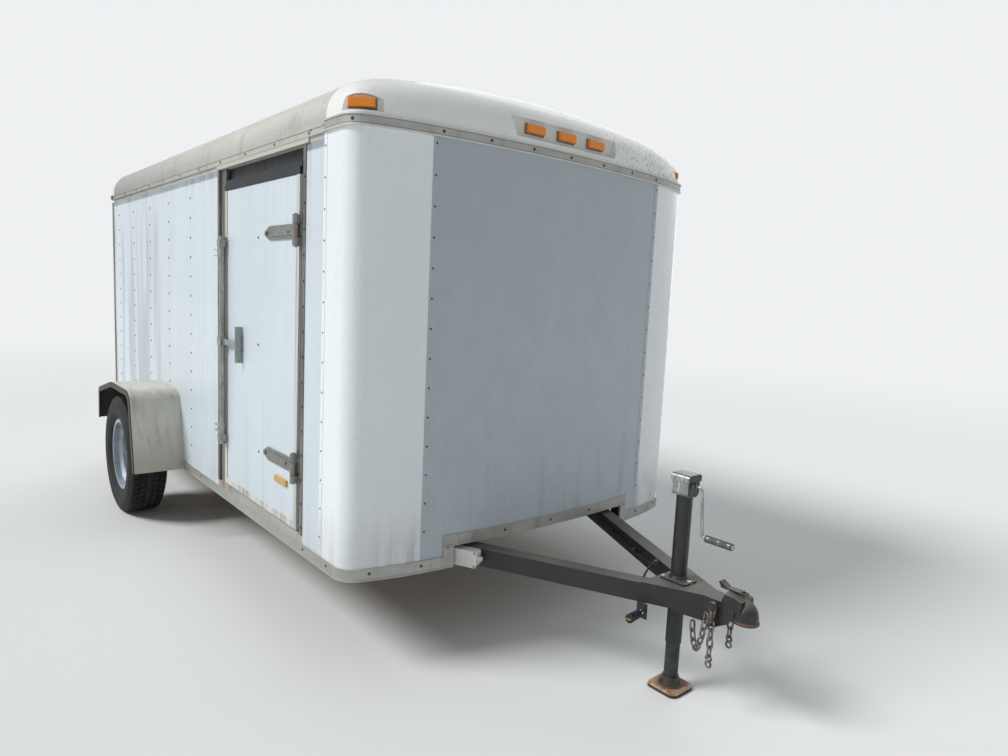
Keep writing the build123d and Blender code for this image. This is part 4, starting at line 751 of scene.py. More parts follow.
def edit(piece):
    """Enter edit mode on one piece with nothing in it selected."""
    only(piece)
    bpy.ops.object.mode_set(mode="EDIT")
    bpy.ops.mesh.select_mode(type="FACE")
    bpy.ops.mesh.select_all(action="DESELECT")


def leave():
    """Back to object mode."""
    bpy.ops.object.mode_set(mode="OBJECT")


def pick(piece, kind, test):
    """Select the faces or edges that pass a test; in edit mode."""
    mesh = bmesh.from_edit_mesh(piece.data)
    bpy.ops.mesh.select_all(action="DESELECT")
    for item in getattr(mesh, kind):
        item.select_set(bool(test(item)))
    mesh.select_flush_mode()
    bmesh.update_edit_mesh(piece.data)


def pick_end(piece, side=1):
    """Select a primitive's upper or lower end; in edit mode."""
    pick(piece, "faces", lambda face: face.normal.z * side > 0.9)


def inset(*steps):
    """Inset the selected faces by each thickness and depth in turn; in edit mode."""
    for thickness, depth in steps:
        bpy.ops.mesh.inset(thickness=thickness, depth=depth)


def inset_end(piece, *steps):
    """Inset a primitive's upper end by each thickness and depth in turn."""
    edit(piece)
    pick_end(piece)
    inset(*steps)
    leave()


def bevel(offset, segments):
    """Bevel the edges of what is selected; in edit mode."""
    bpy.ops.mesh.bevel(offset=offset, segments=segments, affect="EDGES")


def merge(threshold):
    """Merge doubled points and turn every face outwards; in edit mode."""
    bpy.ops.mesh.select_mode(type="VERT")
    bpy.ops.mesh.select_all(action="SELECT")
    bpy.ops.mesh.remove_doubles(threshold=threshold)
    bpy.ops.mesh.normals_make_consistent(inside=False)


def drag_points(piece, move):
    """Move every point of a mesh to where a rule puts it; in edit mode."""
    mesh = bmesh.from_edit_mesh(piece.data)
    for point in mesh.verts:
        point.co = move(point.co.copy(), point.index)
    bmesh.update_edit_mesh(piece.data)


def sketch(points):
    """A closed outline through the given points, as a ring whose points are dragged to their places."""
    ring = primitive("circle", vertices=len(points), radius=1.0, fill_type="NOTHING")
    edit(ring)
    drag_points(ring, lambda old, index: Vector(points[index]))
    return ring


def tube(name, points, diameter, steps, rim):
    """A round tube with closed ends along a NURBS spline that has these points as its control points."""
    curve = bpy.data.curves.new(name, "CURVE")
    curve.dimensions = "3D"
    spline = curve.splines.new("NURBS")
    spline.points.add(len(points) - 1)
    for point, place in zip(spline.points, points):
        point.co = (*place, 1.0)
    spline.order_u = 3
    spline.use_endpoint_u = True
    curve.resolution_u = steps
    curve.bevel_depth = diameter / 2
    curve.bevel_resolution = rim
    curve.use_fill_caps = True
    piece = bpy.data.objects.new(name, curve)
    bpy.context.scene.collection.objects.link(piece)
    return piece


def smooth(piece, angle):
    """Smooth shading, with the edges over an angle kept sharp."""
    only(piece)
    bpy.ops.object.shade_smooth_by_angle(angle=radians(angle))


def facing(point, normal, turn=0.0):
    """A place whose Z points along a normal, turned about it."""
    aim = Vector(normal).to_track_quat("Z", "Y").to_matrix().to_4x4()
    return Matrix.Translation(Vector(point)) @ aim @ Matrix.Rotation(turn, 4, "Z")


def upright(point, turn):
    """A place turned about the vertical."""
    return Matrix.Translation(point) @ Matrix.Rotation(turn, 4, "Z")


def copy_to(place, master):
    """A copy of a master, with its own mesh, at a place."""
    copy = master.copy()
    copy.data = master.data.copy()
    bpy.context.scene.collection.objects.link(copy)
    copy.matrix_world = place
    return copy


def join(*pieces):
    """Join pieces into the first one."""
    only(*pieces)
    if len(pieces) > 1:
        bpy.ops.object.join()
    return pieces[0]


def stamp(master, places):
    """Copy a finished master to each place and join the copies."""
    copies = [copy_to(place, master) for place in places]
    bpy.data.objects.remove(master)
    return join(*copies)


def bake(piece):
    """Put a piece's place, turn and scale in its mesh."""
    only(piece)
    bpy.ops.object.transform_apply(location=True, rotation=True, scale=True)


def settle(piece, name, body, finish, stands_for=()):
    """Name a piece, put its place in its mesh, give it its finish and let it ride on a body."""
    bake(piece)
    piece.name = name
    piece.data.name = name
    piece.data.materials.clear()
    piece.data.materials.append(finish)
    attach(piece, body)
    if stands_for:
        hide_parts(*stands_for)


def finish_of(node):
    """The finish that a packed node was given."""
    return frame["nodes"][node].data.materials[0]


def plan_parts():
    """Middle of the cheek arc, middle of the corner arc, and the angles where the arcs meet."""
    seam = asin(SEAM_Y / NOSE_R)
    cheek = (-NOSE_R + (NOSE_R - CHEEK_R) * cos(seam), (NOSE_R - CHEEK_R) * sin(seam))
    bend = asin((HALF_W - CORNER_R - cheek[1]) / (CHEEK_R - CORNER_R))
    corner = (cheek[0] + (CHEEK_R - CORNER_R) * cos(bend), HALF_W - CORNER_R)
    return cheek, corner, seam, bend


def corner_place():
    """Middle of the corner arc in the packed model's frame."""
    corner = plan_parts()[1]
    return NOSE + corner[0], corner[1]


def on_plan(distance, grow, z):
    """Point and outward normal on the body's plan, a distance round from the nose's middle."""
    cheek, corner, seam, bend = plan_parts()
    side = -1 if distance < 0 else 1
    rest = abs(distance)
    arcs = (((-NOSE_R, 0), NOSE_R, 0, seam), (cheek, CHEEK_R, seam, bend), (corner, CORNER_R, bend, pi / 2))
    for middle, radius, start, end in arcs:
        run = radius * (end - start)
        if rest <= run:
            a = start + rest / radius
            reach = radius + grow
            point = at(middle[0] + reach * cos(a), side * (middle[1] + reach * sin(a)), z)
            return point, Vector((cos(a), side * sin(a), 0))
        rest -= run
    return at(corner[0] - rest, side * (HALF_W + grow), z), Vector((0, side, 0))


def rail_line(x, inside=False):
    """Half spread of a tongue rail's outer or inner face."""
    width = RAIL_W / cos(RAIL_ANGLE) if inside else 0
    return RAIL_SPREAD - width - tan(RAIL_ANGLE) * x


def jack_ring(radius, z):
    """Points round the jack's axis at a height."""
    turns = (2 * pi * i / 24 for i in range(24))
    return [at(JACK_X + radius * cos(a), radius * sin(a), z) for a in turns]


def screw_head():
    """A domed screw head on a thin washer, of few faces."""
    size = sizes("trailer_fasteners")
    r, h = size.head_radius, size.head_height
    head = cylinder(8, r, h * 0.5, h * 0.2)
    edit(head)
    pick_end(head)
    inset((r * 0.22, 0), (r * 0.34, h * 0.5))
    pick_end(head, -1)
    bpy.ops.mesh.delete(type="FACE")
    leave()
    smooth(head, 40)
    return head


def hex_head(radius, height):
    """A hexagon bolt head with a chamfered top, on a round washer."""
    washer = cylinder(20, radius * 1.25, 0.002, 0.0008)
    inset_end(washer, (radius * 0.12, 0.0003))
    head = cylinder(6, radius, height, height / 2 + 0.0015)
    edit(head)
    pick_end(head)
    bevel(height * 0.18, 1)
    leave()
    return join(head, washer)


def strip(middle, normal, width, height, thick):
    """An upright sheet edge, softened along its sides."""
    piece = primitive("cube", size=1.0)
    aim = Vector(normal)
    turn = Matrix((UP, UP.cross(aim), aim)).transposed().to_4x4()
    piece.matrix_world = Matrix.Translation(middle) @ turn @ Matrix.Diagonal((height, width, thick, 1))
    bake(piece)
    edge = piece.modifiers.new("edge", "BEVEL")
    edge.width, edge.segments, edge.limit_method = thick * 0.35, 1, "ANGLE"
    bpy.ops.object.modifier_apply(modifier=edge.name)
    return piece


def bead(path, radius):
    """A weld bead: overlapping drops laid along a path."""
    places = []
    step, spare = radius * 0.8, 0.0
    for a, b in zip(path, path[1:]):
        run = (b - a).length
        far = spare
        while far <= run:
            places.append(Matrix.Translation(a.lerp(b, far / run)))
            far += step
        spare = far - run
    drop = primitive("uv_sphere", segments=8, ring_count=5, radius=radius)
    edit(drop)
    drag_points(drop, lambda old, index: Vector((old.x, old.y, old.z * 0.7)))
    leave()
    smooth(drop, 60)
    return stamp(drop, places)


# ---------------------------------------------------------------- operators


class TRAILER_OT_camera(bpy.types.Operator):
    """Place the camera at the photograph's viewpoint"""

    bl_idname = "trailer.camera"
    bl_label = "Camera"

    def execute(self, context):
        data = bpy.data.cameras.new("Camera")
        camera = bpy.data.objects.new("Camera", data)
        context.scene.collection.objects.link(camera)
        data.lens = CAMERA_LENS
        data.sensor_width = SENSOR_WIDTH
        data.clip_end = CAMERA_REACH
        yaw, pitch, roll = CAMERA_TURN
        ahead = Vector((cos(yaw) * cos(pitch), sin(yaw) * cos(pitch), sin(pitch)))
        level = ahead.cross(UP).normalized()
        up = level.cross(ahead)
        right = cos(roll) * level + sin(roll) * up
        above = -sin(roll) * level + cos(roll) * up
        turn = Matrix((right, above, -ahead)).transposed().to_4x4()
        camera.matrix_world = Matrix.Translation(CAMERA_PLACE) @ turn
        context.scene.camera = camera
        return {"FINISHED"}


class TRAILER_OT_wiring(bpy.types.Operator):
    """Lay the lamp wiring along the left rail and fit the plug's ribs and pins"""

    bl_idname = "trailer.wiring"
    bl_label = "Wiring"

    def execute(self, context):
        size = sizes("trailer_chains")
        piece = tube("wiring", [at(*place) for place in CABLE_POINTS], size.cable_diameter, 10, 4)
        piece.data.materials.append(cable_finish("cable_jacket"))
        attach(piece, "trailer")
        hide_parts("wiring_cable")
        end, before = at(*CABLE_POINTS[-1]), at(*CABLE_POINTS[-2])
        along = (end - before).normalized()
        rib = cylinder(24, 0.0152, 0.005)
        edit(rib)
        pick(rib, "faces", lambda face: abs(face.normal.z) < 0.5)
        bevel(0.0012, 2)
        leave()
        smooth(rib, 50)
        ribs = stamp(rib, [facing(end + along * d, along) for d in (0.022, 0.031, 0.040, 0.049)])
        settle(ribs, "plug_ribs", "trailer", cable_finish("plug_plastic"))
        pin = cylinder(12, 0.0028, 0.012)
        inset_end(pin, (0.0009, 0.0012))
        face = end + along * PLUG_LENGTH
        level = along.cross(UP).normalized()
        pins = stamp(pin, [facing(face + level * d, along) for d in (-0.0075, -0.0025, 0.0025, 0.0075)])
        brass = plain_finish("brass", tone(188, 158, 92), 0.35, 300, 0.0001, metal=0.9)
        settle(pins, "plug_pins", "trailer", brass)
        return {"FINISHED"}


class TRAILER_OT_finishes(bpy.types.Operator):
    """Give every packed node its finish"""

    bl_idname = "trailer.finishes"
    bl_label = "Finishes"

    def execute(self, context):
        body, steel, lamps = sizes("trailer_body"), sizes("trailer_steel"), sizes("trailer_lamps")
        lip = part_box("coupler_head")[0][2]
        band = tuple(corner[2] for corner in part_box("top_band"))
        stains = (
            (at(-0.665, -0.945, 0.678), 0.9),
            (at(-0.497, -0.93, 1.585), 0.4),
            (at(-0.497, -0.93, 0.665), 0.4),
        )
        hub = plain_finish("hub_steel", tone(62, 60, 58), 0.5, 180, 0.0003, metal=0.4, worn=steel.rust)
        finishes = {
            "side_wall_left side_wall_right side_door_leaf rear_door_left rear_door_right": side_finish(),
            "frame_side_rails frame_crossmembers axle_beam axle_arms": frame_finish("frame_paint", 0.0),
            "tongue_rails coupler_channel jack_tube": frame_finish("tongue_paint", 0.12),
            "coupler_head coupler_latch": frame_finish("coupler_paint", 0.42, lip=lip),
            "rear_hinge_posts rear_hardware_left rear_hardware_right": zinc_finish("zinc_plate", 0.1),
            "side_hinge_posts side_hinge_straps": zinc_finish("worn_zinc", 0.36, stains=stains, shade=0.66),
            "side_lock_bar jack_crank": zinc_finish("bar_zinc", 0.4, 0.3, shade=0.85),
            "jack_head": zinc_finish("galvanised", 0.15, 0.6, shade=0.85, lid_and_shaded_front=True),
            "jack_leg": foot_finish(),
            "lower_trim": strip_finish("trim_anodised", body.trim, 0.36, 0.55, 0.4),
            "top_band": strip_finish("band_anodised", body.trim, 0.36, 0.5, 0.35, edges=band),
            "side_door_threshold": strip_finish("sill_metal", body.trim, 0.45, 0.3, 0.6, rust_from=-1.12),
            "roof_coves": strip_finish("cove_metal", body.cove, 0.45, 0.25, 0.35, fade=0.6),
            "roof_panel": strip_finish("roof_sheet", body.roof, 0.68, 0.0, 0.18, specular=0.25),
            "side_door_frame rear_frame": jamb_finish(),
            "front_cap rear_cap": cap_finish(),
            "front_panel": front_finish(),
            "corner_panels": corner_finish(),
            "fenders": fender_finish(),
            "floor_deck": plywood_finish(),
            "junction_box": plain_finish("box_plastic", steel.box, 0.42, 160, 0.0002, worn=body.dirt),
            "lamps_amber": lens_finish("amber_lens", lamps.amber, True),
            "lamps_red": lens_finish("red_lens", lamps.red, False),
            "side_door_reflector": reflector_finish(),
            "wiring_plug wiring_cable": cable_finish("plug_shell"),
            "wheel_left wheel_right": wheel_finish(),
            "hub_left hub_right": hub,
            "tyre_left tyre_right": tyre_finish(),
            "safety_chain_left safety_chain_right": zinc_finish("chain_zinc", 0.9, shade=0.6),
        }
        missed = set(frame["nodes"])
        for names, finish in finishes.items():
            for name in names.split():
                node = frame["nodes"][name]
                node.data.materials.clear()
                node.data.materials.append(finish)
                missed.discard(name)
        if missed:
            raise RuntimeError(f"nodes without a finish: {sorted(missed)}")
        return {"FINISHED"}


def tyre_outline(size):
    """Half of a tyre's section as radius and offset, from the seat round to the tread's middle."""
    half, r = 0.1005, TYRE_R - 0.0006
    d, w = size.groove_depth, size.groove_width / 2
    outline = [
        (0.1915, 0.0640), (0.2000, 0.0730), (0.2080, 0.0795), (0.2130, 0.0850), (0.2200, 0.0890),
        (0.2320, 0.0945), (0.2400, 0.0968), (0.2415, 0.0982), (0.2450, 0.0985), (0.2465, 0.0985),
        (0.2650, half), (0.2810, half + 0.001), (0.2960, half), (0.3000, half + 0.0008),
        (0.3030, half + 0.0004), (0.3060, half - 0.0016), (0.3180, half - 0.0050), (0.3290, 0.0905),
        (0.3365, 0.0865), (r - 0.0022, 0.0825), (r - 0.0006, 0.076),
    ]
    for groove, drop in ((0.052, 0.0004), (0.018, 0.0)):
        outline += [
            (r - drop, groove + w), (r - drop - d, groove + w * 0.6), (r - drop - d, groove - w * 0.6),
            (r, groove - w),
        ]
    return outline


class TRAILER_OT_tyres(bpy.types.Operator):
    """Model the tyres: sidewalls with moulded rings, ribs and a grooved, siped tread"""

    bl_idname = "trailer.tyres"
    bl_label = "Tyres"

    def execute(self, context):
        size = sizes("trailer_tyres")
        half = tyre_outline(size)
        master = sketch([(r, y, 0) for r, y in half + [(r, -y) for r, y in reversed(half)]])
        bpy.ops.mesh.select_all(action="SELECT")
        bpy.ops.mesh.spin(steps=size.blocks * 3, angle=2 * pi, center=(0, 0, 0), axis=(0, 1, 0))
        merge(0.00002)
        bpy.ops.mesh.select_mode(type="FACE")
        block = 2 * pi / size.blocks

        def in_sipe(face):
            middle = face.calc_center_median()
            from_axis = sqrt(middle.x**2 + middle.z**2)
            lag = 0.33 * block if abs(middle.y) > 0.057 else 0.0
            turn = (Vector((middle.x, middle.z)).angle_signed(Vector((1, 0))) + pi + lag) % block
            on_rib = 0.024 < abs(middle.y) < 0.046 or 0.0585 < abs(middle.y) < 0.081
            return from_axis > TYRE_R - 0.006 and on_rib and turn < block / 3.001

        pick(master, "faces", in_sipe)
        inset((0.0012, -0.0045))
        leave()
        smooth(master, 32)
        rubber = tyre_finish()
        for name, side in SIDES:
            copy = copy_to(Matrix.Translation(at(WHEEL_X, side * TRACK_HALF, TYRE_R)), master)
            settle(copy, f"tyre_tread_{name}", f"wheel_set_{name}", rubber, [f"tyre_{name}"])
        bpy.data.objects.remove(master)
        return {"FINISHED"}


class TRAILER_OT_wheel_fittings(bpy.types.Operator):
    """Model the wheel nuts, grease caps and valves"""

    bl_idname = "trailer.wheel_fittings"
    bl_label = "Wheel fittings"

    def execute(self, context):
        size = sizes("trailer_tyres")
        bright, black = zinc_finish("nut_zinc", 0.3), cable_finish("valve_rubber")
        nut_seat, cap_seat, stem_seat, stem_circle, stem_lean = 0.0048, 0.0295, 0.022, 0.150, 0.35
        for name, side in SIDES:
            body = f"wheel_set_{name}"
            out = Vector((0, side, 0))
            hub = at(WHEEL_X, side * TRACK_HALF, TYRE_R)
            nut = cylinder(6, size.nut_radius, 0.018, 0.009)
            inset_end(nut, (0.002, 0.0), (0.0025, 0.004), (0.002, -0.002))
            places = []
            for i in range(size.nuts):
                a = 2 * pi * i / size.nuts + 0.3
                spot = hub + Vector((cos(a), 0, sin(a))) * size.nut_circle + out * nut_seat
                places.append(facing(spot, out, a))
            nuts = stamp(nut, places)
            cap = cylinder(28, 0.0315, 0.022, 0.009)
            inset_end(cap, (0.004, 0.004), (0.006, 0.003), (0.010, -0.002))
            smooth(cap, 50)
            cap.matrix_world = facing(hub + out * cap_seat, out)
            settle(join(nuts, cap), f"wheel_nuts_{name}", body, bright)
            stem = cylinder(12, 0.0052, 0.03)
            edit(stem)
            pick_end(stem)
            inset((0.0012, 0.002))
            bpy.ops.mesh.extrude_region_shrink_fatten(TRANSFORM_OT_shrink_fatten={"value": 0.006})
            leave()
            smooth(stem, 40)
            spoke = Vector((cos(1.1), 0, sin(1.1)))
            spot = hub + spoke * stem_circle + out * stem_seat
            stem.matrix_world = facing(spot, out - spoke * stem_lean)
            settle(stem, f"valve_{name}", body, black)
        return {"FINISHED"}


def link_master(size):
    """One round-wire chain link in the XZ plane, stretched from a ring."""
    wire = size.wire / 2
    ring = size.link_width / 2 - wire
    link = primitive(
        "torus", major_radius=ring, minor_radius=wire, major_segments=20, minor_segments=8,
        rotation=(pi / 2, 0, 0),
    )
    bake(link)
    stretch = size.pitch / 2 - (ring - wire)

    def spread(old, index):
        return old + UP * (stretch if old.z > 0.0001 else -stretch if old.z < -0.0001 else 0)

    edit(link)
    drag_points(link, spread)
    leave()
    smooth(link, 60)
    return link


def hook_master(size):
    """An S-hook in the XZ plane, a tube made a mesh, with the middle of its upper bow at the origin."""
    r = 0.011
    upper = [(r * sin(a), 0, r * cos(a)) for a in (radians(v) for v in range(-250, 151, 50))]
    lower = [(-x, 0, -2 * r - z) for x, _, z in reversed(upper)]
    hook = tube("hook", upper[:-1] + [(0.0, 0, -r)] + lower[1:], size.wire, 4, 2)
    only(hook)
    bpy.ops.object.convert(target="MESH")
    hook = bpy.context.object
    edit(hook)
    merge(0.00001)
    leave()
    smooth(hook, 60)
    return hook


def hung_links(start, low, end, step):
    """Places of links along a hanging curve between two points, each turned a quarter from the last."""
    start, low, end = (at(*point) for point in (start, low, end))
    places, last, share = [], start, 0.0
    while share < 1.0:
        share += 0.002
        point = start * (1 - share) ** 2 + low * (2 * share * (1 - share)) + end * share**2
        if (point - last).length >= step:
            places.append(facing((point + last) / 2, point - last, pi / 2 * (len(places) % 2)))
            last = point
    return places


class TRAILER_OT_chains(bpy.types.Operator):
    """Model the safety chains' round-wire links and their S-hooks"""

    bl_idname = "trailer.chains"
    bl_label = "Safety chains"

    def execute(self, context):
        size = sizes("trailer_chains")
        steel = zinc_finish("chain_steel", 0.9, shade=0.6)
        play, hook_drop = 0.0004, 0.008
        step = size.pitch - play
        chain_y = NECK_HALF + NECK_FLANGE + size.link_width / 2 + 0.001
        for name, side, x, links, eye in (("right", -1, 0.846, 6, 0.398), ("left", 1, 0.848, 4, 0.372)):
            top = eye + size.wire / 2 + play - size.pitch / 2
            last = top - (links - 1) * step - size.pitch / 2
            levels = [top - i * step for i in range(links)] + [last + play - hook_drop]
            places = [upright(at(x, side * chain_y, z), pi / 2 * (i % 2)) for i, z in enumerate(levels)]
            chain = stamp(link_master(size), places[:-1])
            hook = hook_master(size)
            hook.matrix_world = places[-1]
            both = join(chain, hook)
            settle(both, f"chain_links_{name}", "trailer", steel, [f"safety_chain_{name}"])
        places = hung_links((0.768, -0.050, 0.308), (0.792, -0.054, 0.10), (0.838, -0.074, 0.385), step)
        settle(stamp(link_master(size), places), "chain_loop", "trailer", steel)
        return {"FINISHED"}


def heights(low, high, pitch):
    """Evenly spaced heights between two limits, near a pitch."""
    gaps = max(1, round((high - low) / pitch))
    return [low + (high - low) * i / gaps for i in range(gaps + 1)]


def nose_screws(size):
    """Places of the rivets and screws round the nose."""
    spots = []
    for side in (-1, 1):
        out = Vector((0, side, 0))
        spots += [on_plan(side * SEAM_REACH, 0, z) for z in heights(0.493, 1.905, size.seam_pitch)]
        spots += [(at(CORNER_END, side * HALF_W, z), out) for z in heights(0.452, 1.88, 0.11)]
        spots.append(on_plan(side * 0.518, TRIM_OUT, 0.419))
    half = (0.2, 0.4, 0.6, 0.92, 1.2)
    spots += [on_plan(d, BAND_OUT, NOSE_BAND_Z) for d in (*(-d for d in reversed(half)), 0.0, *half)]
    spots += [on_plan(d, TRIM_OUT, 0.4425) for d in (-0.25, 0.0, 0.25)]
    for i in range(3, 7):
        spots += [on_plan(side * (i * 0.2 + 0.03), TRIM_OUT, NOSE_TRIM_Z) for side in (-1, 1)]
    return spots


def side_screws(size):
    """Places of the screws on the side walls, door frame and roof rails."""
    spots = []
    for side in (-1, 1):
        out = Vector((0, side, 0))
        for i in range(-4, 5):
            x = -1.865 - i * size.column_step
            if -3.62 <= x <= -0.33 and not (side < 0 and x > -1.5):
                spots += [(at(x, side * HALF_W, z), out) for z in heights(0.494, 1.81, size.wall_pitch)]
        for x in heights(-3.60, -0.42, 0.305):
            if side > 0 or x < -1.45:
                spots.append((at(x, side * (HALF_W + TRIM_OUT), SIDE_TRIM_Z), out))
            spots.append((at(x, side * (HALF_W + BAND_OUT), SIDE_BAND_Z), out))
    out = Vector((0, -1, 0))
    spots += [(at(-0.4635, -HALF_W - 0.003, z), out) for z in heights(0.44, 1.79, 0.1)]
    spots += [(at(x, -HALF_W, 0.372), out) for x in heights(-1.40, -0.49, 0.152)]
    spots += [(at(x, -HALF_W, z), out) for x, z in ((-0.924, 1.580), (-0.919, 1.124), (-0.905, 0.655))]
    return spots


def rear_screws():
    """Places of the screws on the rear frame."""
    places = [(side * 0.895, z) for side in (-1, 1) for z in heights(0.40, 1.86, 0.182)]
    places += [(y, 1.893) for y in heights(-0.8, 0.8, 0.2)]
    places += [(y, 0.346) for y in heights(-0.55, 0.55, 0.22)]
    return [(at(REAR_X, y, z), Vector((-1, 0, 0))) for y, z in places]


class TRAILER_OT_screws(bpy.types.Operator):
    """Set the screws and rivets round the body"""

    bl_idname = "trailer.screws"
    bl_label = "Screws and rivets"

    def execute(self, context):
        size = sizes("trailer_fasteners")
        rust = sizes("trailer_steel").rust
        steel = plain_finish("screw_steel", tone(66, 62, 57), 0.45, 260, 0.0002, metal=0.3, worn=rust)
        groups = (("nose", nose_screws(size)), ("side", side_screws(size)), ("rear", rear_screws()))
        for name, spots in groups:
            places = [facing(spot, out, i * 0.7) for i, (spot, out) in enumerate(spots)]
            settle(stamp(screw_head(), places), f"{name}_screws", "trailer", steel)
        return {"FINISHED"}


class TRAILER_OT_sheet_edges(bpy.types.Operator):
    """Lap the sheet edges at the front seams and at the corner panels' ends"""

    bl_idname = "trailer.sheet_edges"
    bl_label = "Sheet edges"

    def execute(self, context):
        size = sizes("trailer_fasteners")
        wide, thick = size.edge_width, size.edge_height
        proud = thick * 0.4
        front_edges, corner_edges = [], []
        for side in (-1, 1):
            spot, out = on_plan(side * SEAM_REACH, proud, (FRONT_LOW + SHEET_TOP) / 2)
            front_edges.append(strip(spot, out, wide, SHEET_TOP - FRONT_LOW, thick))
            spot = at(CORNER_END, side * (HALF_W + proud), (CORNER_LOW + SHEET_TOP) / 2)
            corner_edges.append(strip(spot, (0, side, 0), wide * 0.9, SHEET_TOP - CORNER_LOW, thick))
        grey, white = finish_of("front_panel"), finish_of("corner_panels")
        settle(join(*front_edges), "front_seam_edges", "trailer", grey)
        settle(join(*corner_edges), "corner_sheet_edges", "trailer", white)
        return {"FINISHED"}


class TRAILER_OT_welds(bpy.types.Operator):
    """Lay the weld beads on the tongue, the jack and its foot"""

    bl_idname = "trailer.welds"
    bl_label = "Weld beads"

    def execute(self, context):
        r = sizes("trailer_fittings").bead
        rust = sizes("trailer_steel").rust
        paint = plain_finish("weld_bead", tone(92, 90, 86), 0.5, 200, 0.0004, worn=rust)
        beads = []
        for side in (-1, 1):
            spread = (rail_line(JOINT_X, True) + 0.003, rail_line(JOINT_X) - 0.002)
            beads.append(bead([at(JOINT_X - 0.0015, side * y, RAIL_TOP + 0.002) for y in spread], r))
            ends = ((0.604, 0.3735), (0.70, 0.3365))
            beads.append(bead([at(x, side * (rail_line(x) + 0.001), z) for x, z in ends], r))
        ring = jack_ring(0.0365, 0.4165)
        beads.append(bead(ring + ring[:1], r * 0.8))
        settle(join(*beads), "tongue_welds", "trailer", paint)
        ring = jack_ring(0.0405, 0.0185)
        settle(bead(ring + ring[:1], r), "foot_weld", "jack_foot", finish_of("jack_leg"))
        return {"FINISHED"}


class TRAILER_OT_fittings(bpy.types.Operator):
    """Bolt the jack's plate and the junction box's lid, add the axle's brackets, and sleeve the crank"""

    bl_idname = "trailer.fittings"
    bl_label = "Bolts and brackets"

    def execute(self, context):
        size = sizes("trailer_fittings")
        steel = zinc_finish("bolt_zinc", 0.45)
        spots = ((-0.044, 0.030), (-0.044, -0.030), (0.046, 0.0))
        places = [facing(at(JACK_X + x, y, 0.415), UP, i) for i, (x, y) in enumerate(spots)]
        settle(stamp(hex_head(size.bolt, 0.007), places), "jack_plate_bolts", "trailer", steel)
        self.grip(size.grip)
        turn = upright(at(BOX_X, -rail_line(BOX_X), 0.371), RAIL_ANGLE)
        places = [
            turn @ facing((x, -0.048, z), (0, -1, 0)) for x in (-0.051, 0.051) for z in (-0.026, 0.026)
        ]
        settle(stamp(screw_head(), places), "box_lid_screws", "trailer", steel)
        brackets = [self.bracket(side * y) for side in (-1, 1) for y in (0.70, 0.80)]
        settle(join(*brackets), "axle_brackets", "trailer", finish_of("axle_beam"))
        return {"FINISHED"}

    def grip(self, radius):
        """Ribbed sleeve on the jack's crank."""
        grip = cylinder(24, radius, 0.102)
        edit(grip)
        pick(grip, "faces", lambda face: abs(face.normal.z) > 0.9)
        inset((0.0022, 0.0016), (0.0040, -0.0012))

        def every_third(face):
            if abs(face.normal.z) >= 0.1:
                return False
            turn = face.normal.to_2d().angle_signed(Vector((1, 0))) + pi
            return int(turn / (pi / 12)) % 3 == 0

        pick(grip, "faces", every_third)
        inset((0.0007, -0.0014))
        leave()
        smooth(grip, 28)
        grip.matrix_world = facing(at(0.8135, 0, 0.590), (1, 0, 0))
        dust = sizes("trailer_steel").dust
        sleeve = plain_finish("grip_sleeve", tone(86, 88, 88), 0.5, 240, 0.0002, worn=dust)
        settle(grip, "crank_grip", "trailer", sleeve)

    def bracket(self, y):
        """One plate that carries the axle, with its lower corners rounded."""
        plate = primitive("cube", size=1.0)
        plate.scale = (0.17, 0.006, 0.075)
        plate.location = at(WHEEL_X + 0.15, y, 0.3005)
        bake(plate)

        def low_corner(edge):
            a, b = (point.co for point in edge.verts)
            return a.z < 0.28 and b.z < 0.28 and abs(a.y - b.y) > 0.004

        edit(plate)
        bpy.ops.mesh.select_mode(type="EDGE")
        pick(plate, "edges", low_corner)
        bevel(0.022, 3)
        leave()
        return plate


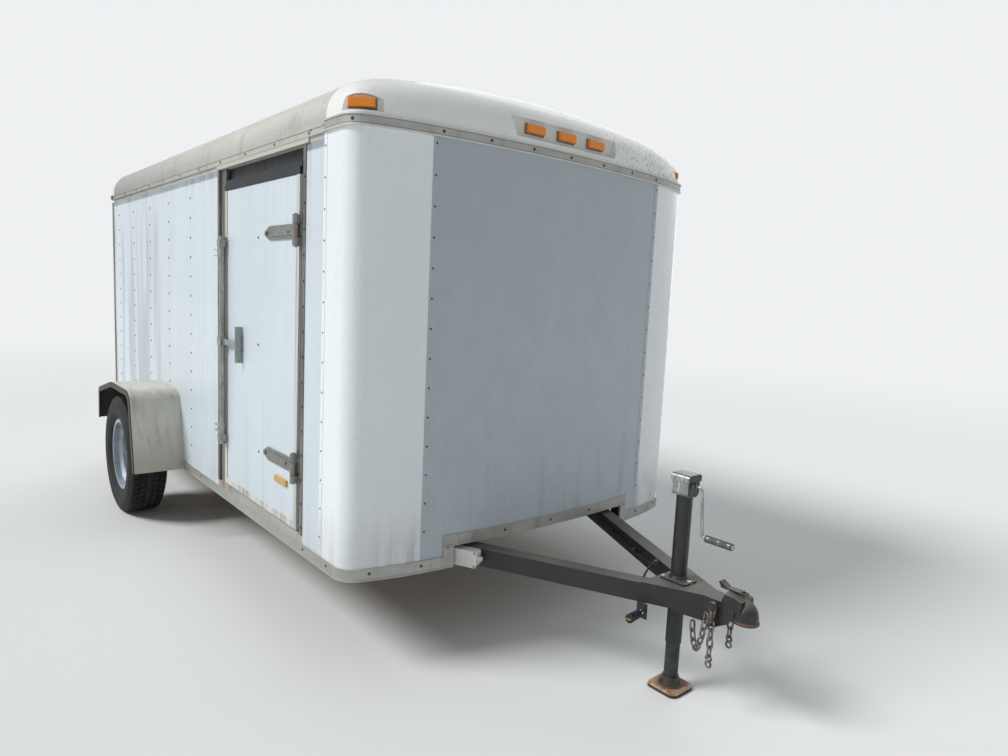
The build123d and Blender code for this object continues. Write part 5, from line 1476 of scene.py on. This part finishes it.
class TRAILER_OT_stage(bpy.types.Operator):
    """Pale floor, plain background and soft studio light"""

    bl_idname = "trailer.stage"
    bl_label = "Stage"

    def execute(self, context):
        look = sizes("trailer_stage")
        floor_size, fade_from, fade_to = 80.0, 5.0, 14.0
        floor = primitive("plane", size=floor_size, location=(0, 0, 0))
        floor.name = "floor"
        f = Finish("floor", rough=0.9, specular=0.2)
        f.set(colour=look.floor)
        away = ((f.x * f.x + f.y * f.y) ** 0.5).above(fade_from, fade_to)
        seen = f.node("LightPath", {}, {}, "Is Camera Ray")
        glow = f.node("Emission", {}, {"Color": (*look.background, 1), "Strength": 1.0})
        near = Value(f, f.shader.outputs[0])
        f.end("Material Output", f.node("MixShader", {}, {0: away * seen, 1: near, 2: glow}))
        floor.data.materials.append(f.material)
        self.world(context, look)
        self.sun("key_light", (-0.42, -0.78, 0.80), look.key_power, 22)
        self.sun("fill_light", (-0.35, 0.85, 0.45), look.fill_power, 60)
        return {"FINISHED"}

    def world(self, context, look):
        """Even light, with a plain background for what the camera and reflections see."""
        world = bpy.data.worlds.new("studio")
        world.use_nodes = True
        context.scene.world = world
        w = Nodes(world.node_tree)
        lit = w.tree.nodes["Background"]
        lit.inputs["Color"].default_value = (0.93, 0.97, 1.0, 1)
        lit.inputs["Strength"].default_value = look.ambient
        seen = w.node("Background", {}, {"Color": (*look.background, 1)})
        rays = w.node("LightPath", {}, {}).socket.node.outputs
        kinds = ("Is Camera Ray", "Is Transmission Ray", "Is Glossy Ray")
        camera, through, glossy = (Value(w, rays[kind]) for kind in kinds)
        mask = glossy * 0.6 + camera.either(through)
        w.end("World Output", w.node("MixShader", {}, {0: mask, 1: Value(w, lit.outputs[0]), 2: seen}))

    def sun(self, name, towards, power, spread):
        """A soft distant lamp that shines from a direction."""
        lamp = bpy.data.lights.new(name, "SUN")
        lamp.energy = power
        lamp.angle = radians(spread)
        piece = bpy.data.objects.new(name, lamp)
        bpy.context.scene.collection.objects.link(piece)
        piece.rotation_euler = Vector(towards).to_track_quat("Z", "Y").to_euler()


class TRAILER_PT_panel(bpy.types.Panel):
    """Pieces of the trailer and their sizes and colours"""

    bl_label = "Enclosed cargo trailer"
    bl_idname = "TRAILER_PT_panel"
    bl_space_type = "VIEW_3D"
    bl_region_type = "UI"
    bl_category = "Trailer"

    def draw(self, context):
        for operator in OPERATORS:
            self.layout.operator(operator.bl_idname)
        for group, kind in GROUPS.items():
            box = self.layout.box()
            box.label(text=kind.__doc__)
            for name in kind.__annotations__:
                box.prop(getattr(context.scene, group), name)


OPERATORS = (
    TRAILER_OT_camera, TRAILER_OT_wiring, TRAILER_OT_finishes, TRAILER_OT_tyres, TRAILER_OT_wheel_fittings,
    TRAILER_OT_chains, TRAILER_OT_screws, TRAILER_OT_sheet_edges, TRAILER_OT_welds, TRAILER_OT_fittings,
    TRAILER_OT_stage,
)


def register():
    for kind in (*GROUPS.values(), *OPERATORS, TRAILER_PT_panel):
        bpy.utils.register_class(kind)
    for name, kind in GROUPS.items():
        setattr(bpy.types.Scene, name, PointerProperty(type=kind))


def unregister():
    for name in GROUPS:
        delattr(bpy.types.Scene, name)
    for kind in reversed((*GROUPS.values(), *OPERATORS, TRAILER_PT_panel)):
        bpy.utils.unregister_class(kind)


def main():
    """Build every piece in order."""
    register()
    bpy.context.scene.view_settings.view_transform = "Standard"
    bpy.ops.trailer.camera()
    bpy.ops.trailer.wiring()
    bpy.ops.trailer.finishes()
    bpy.ops.trailer.tyres()
    bpy.ops.trailer.wheel_fittings()
    bpy.ops.trailer.chains()
    bpy.ops.trailer.screws()
    bpy.ops.trailer.sheet_edges()
    bpy.ops.trailer.welds()
    bpy.ops.trailer.fittings()
    bpy.ops.trailer.stage()
    deselect()


if __name__ == "__main__":
    main()
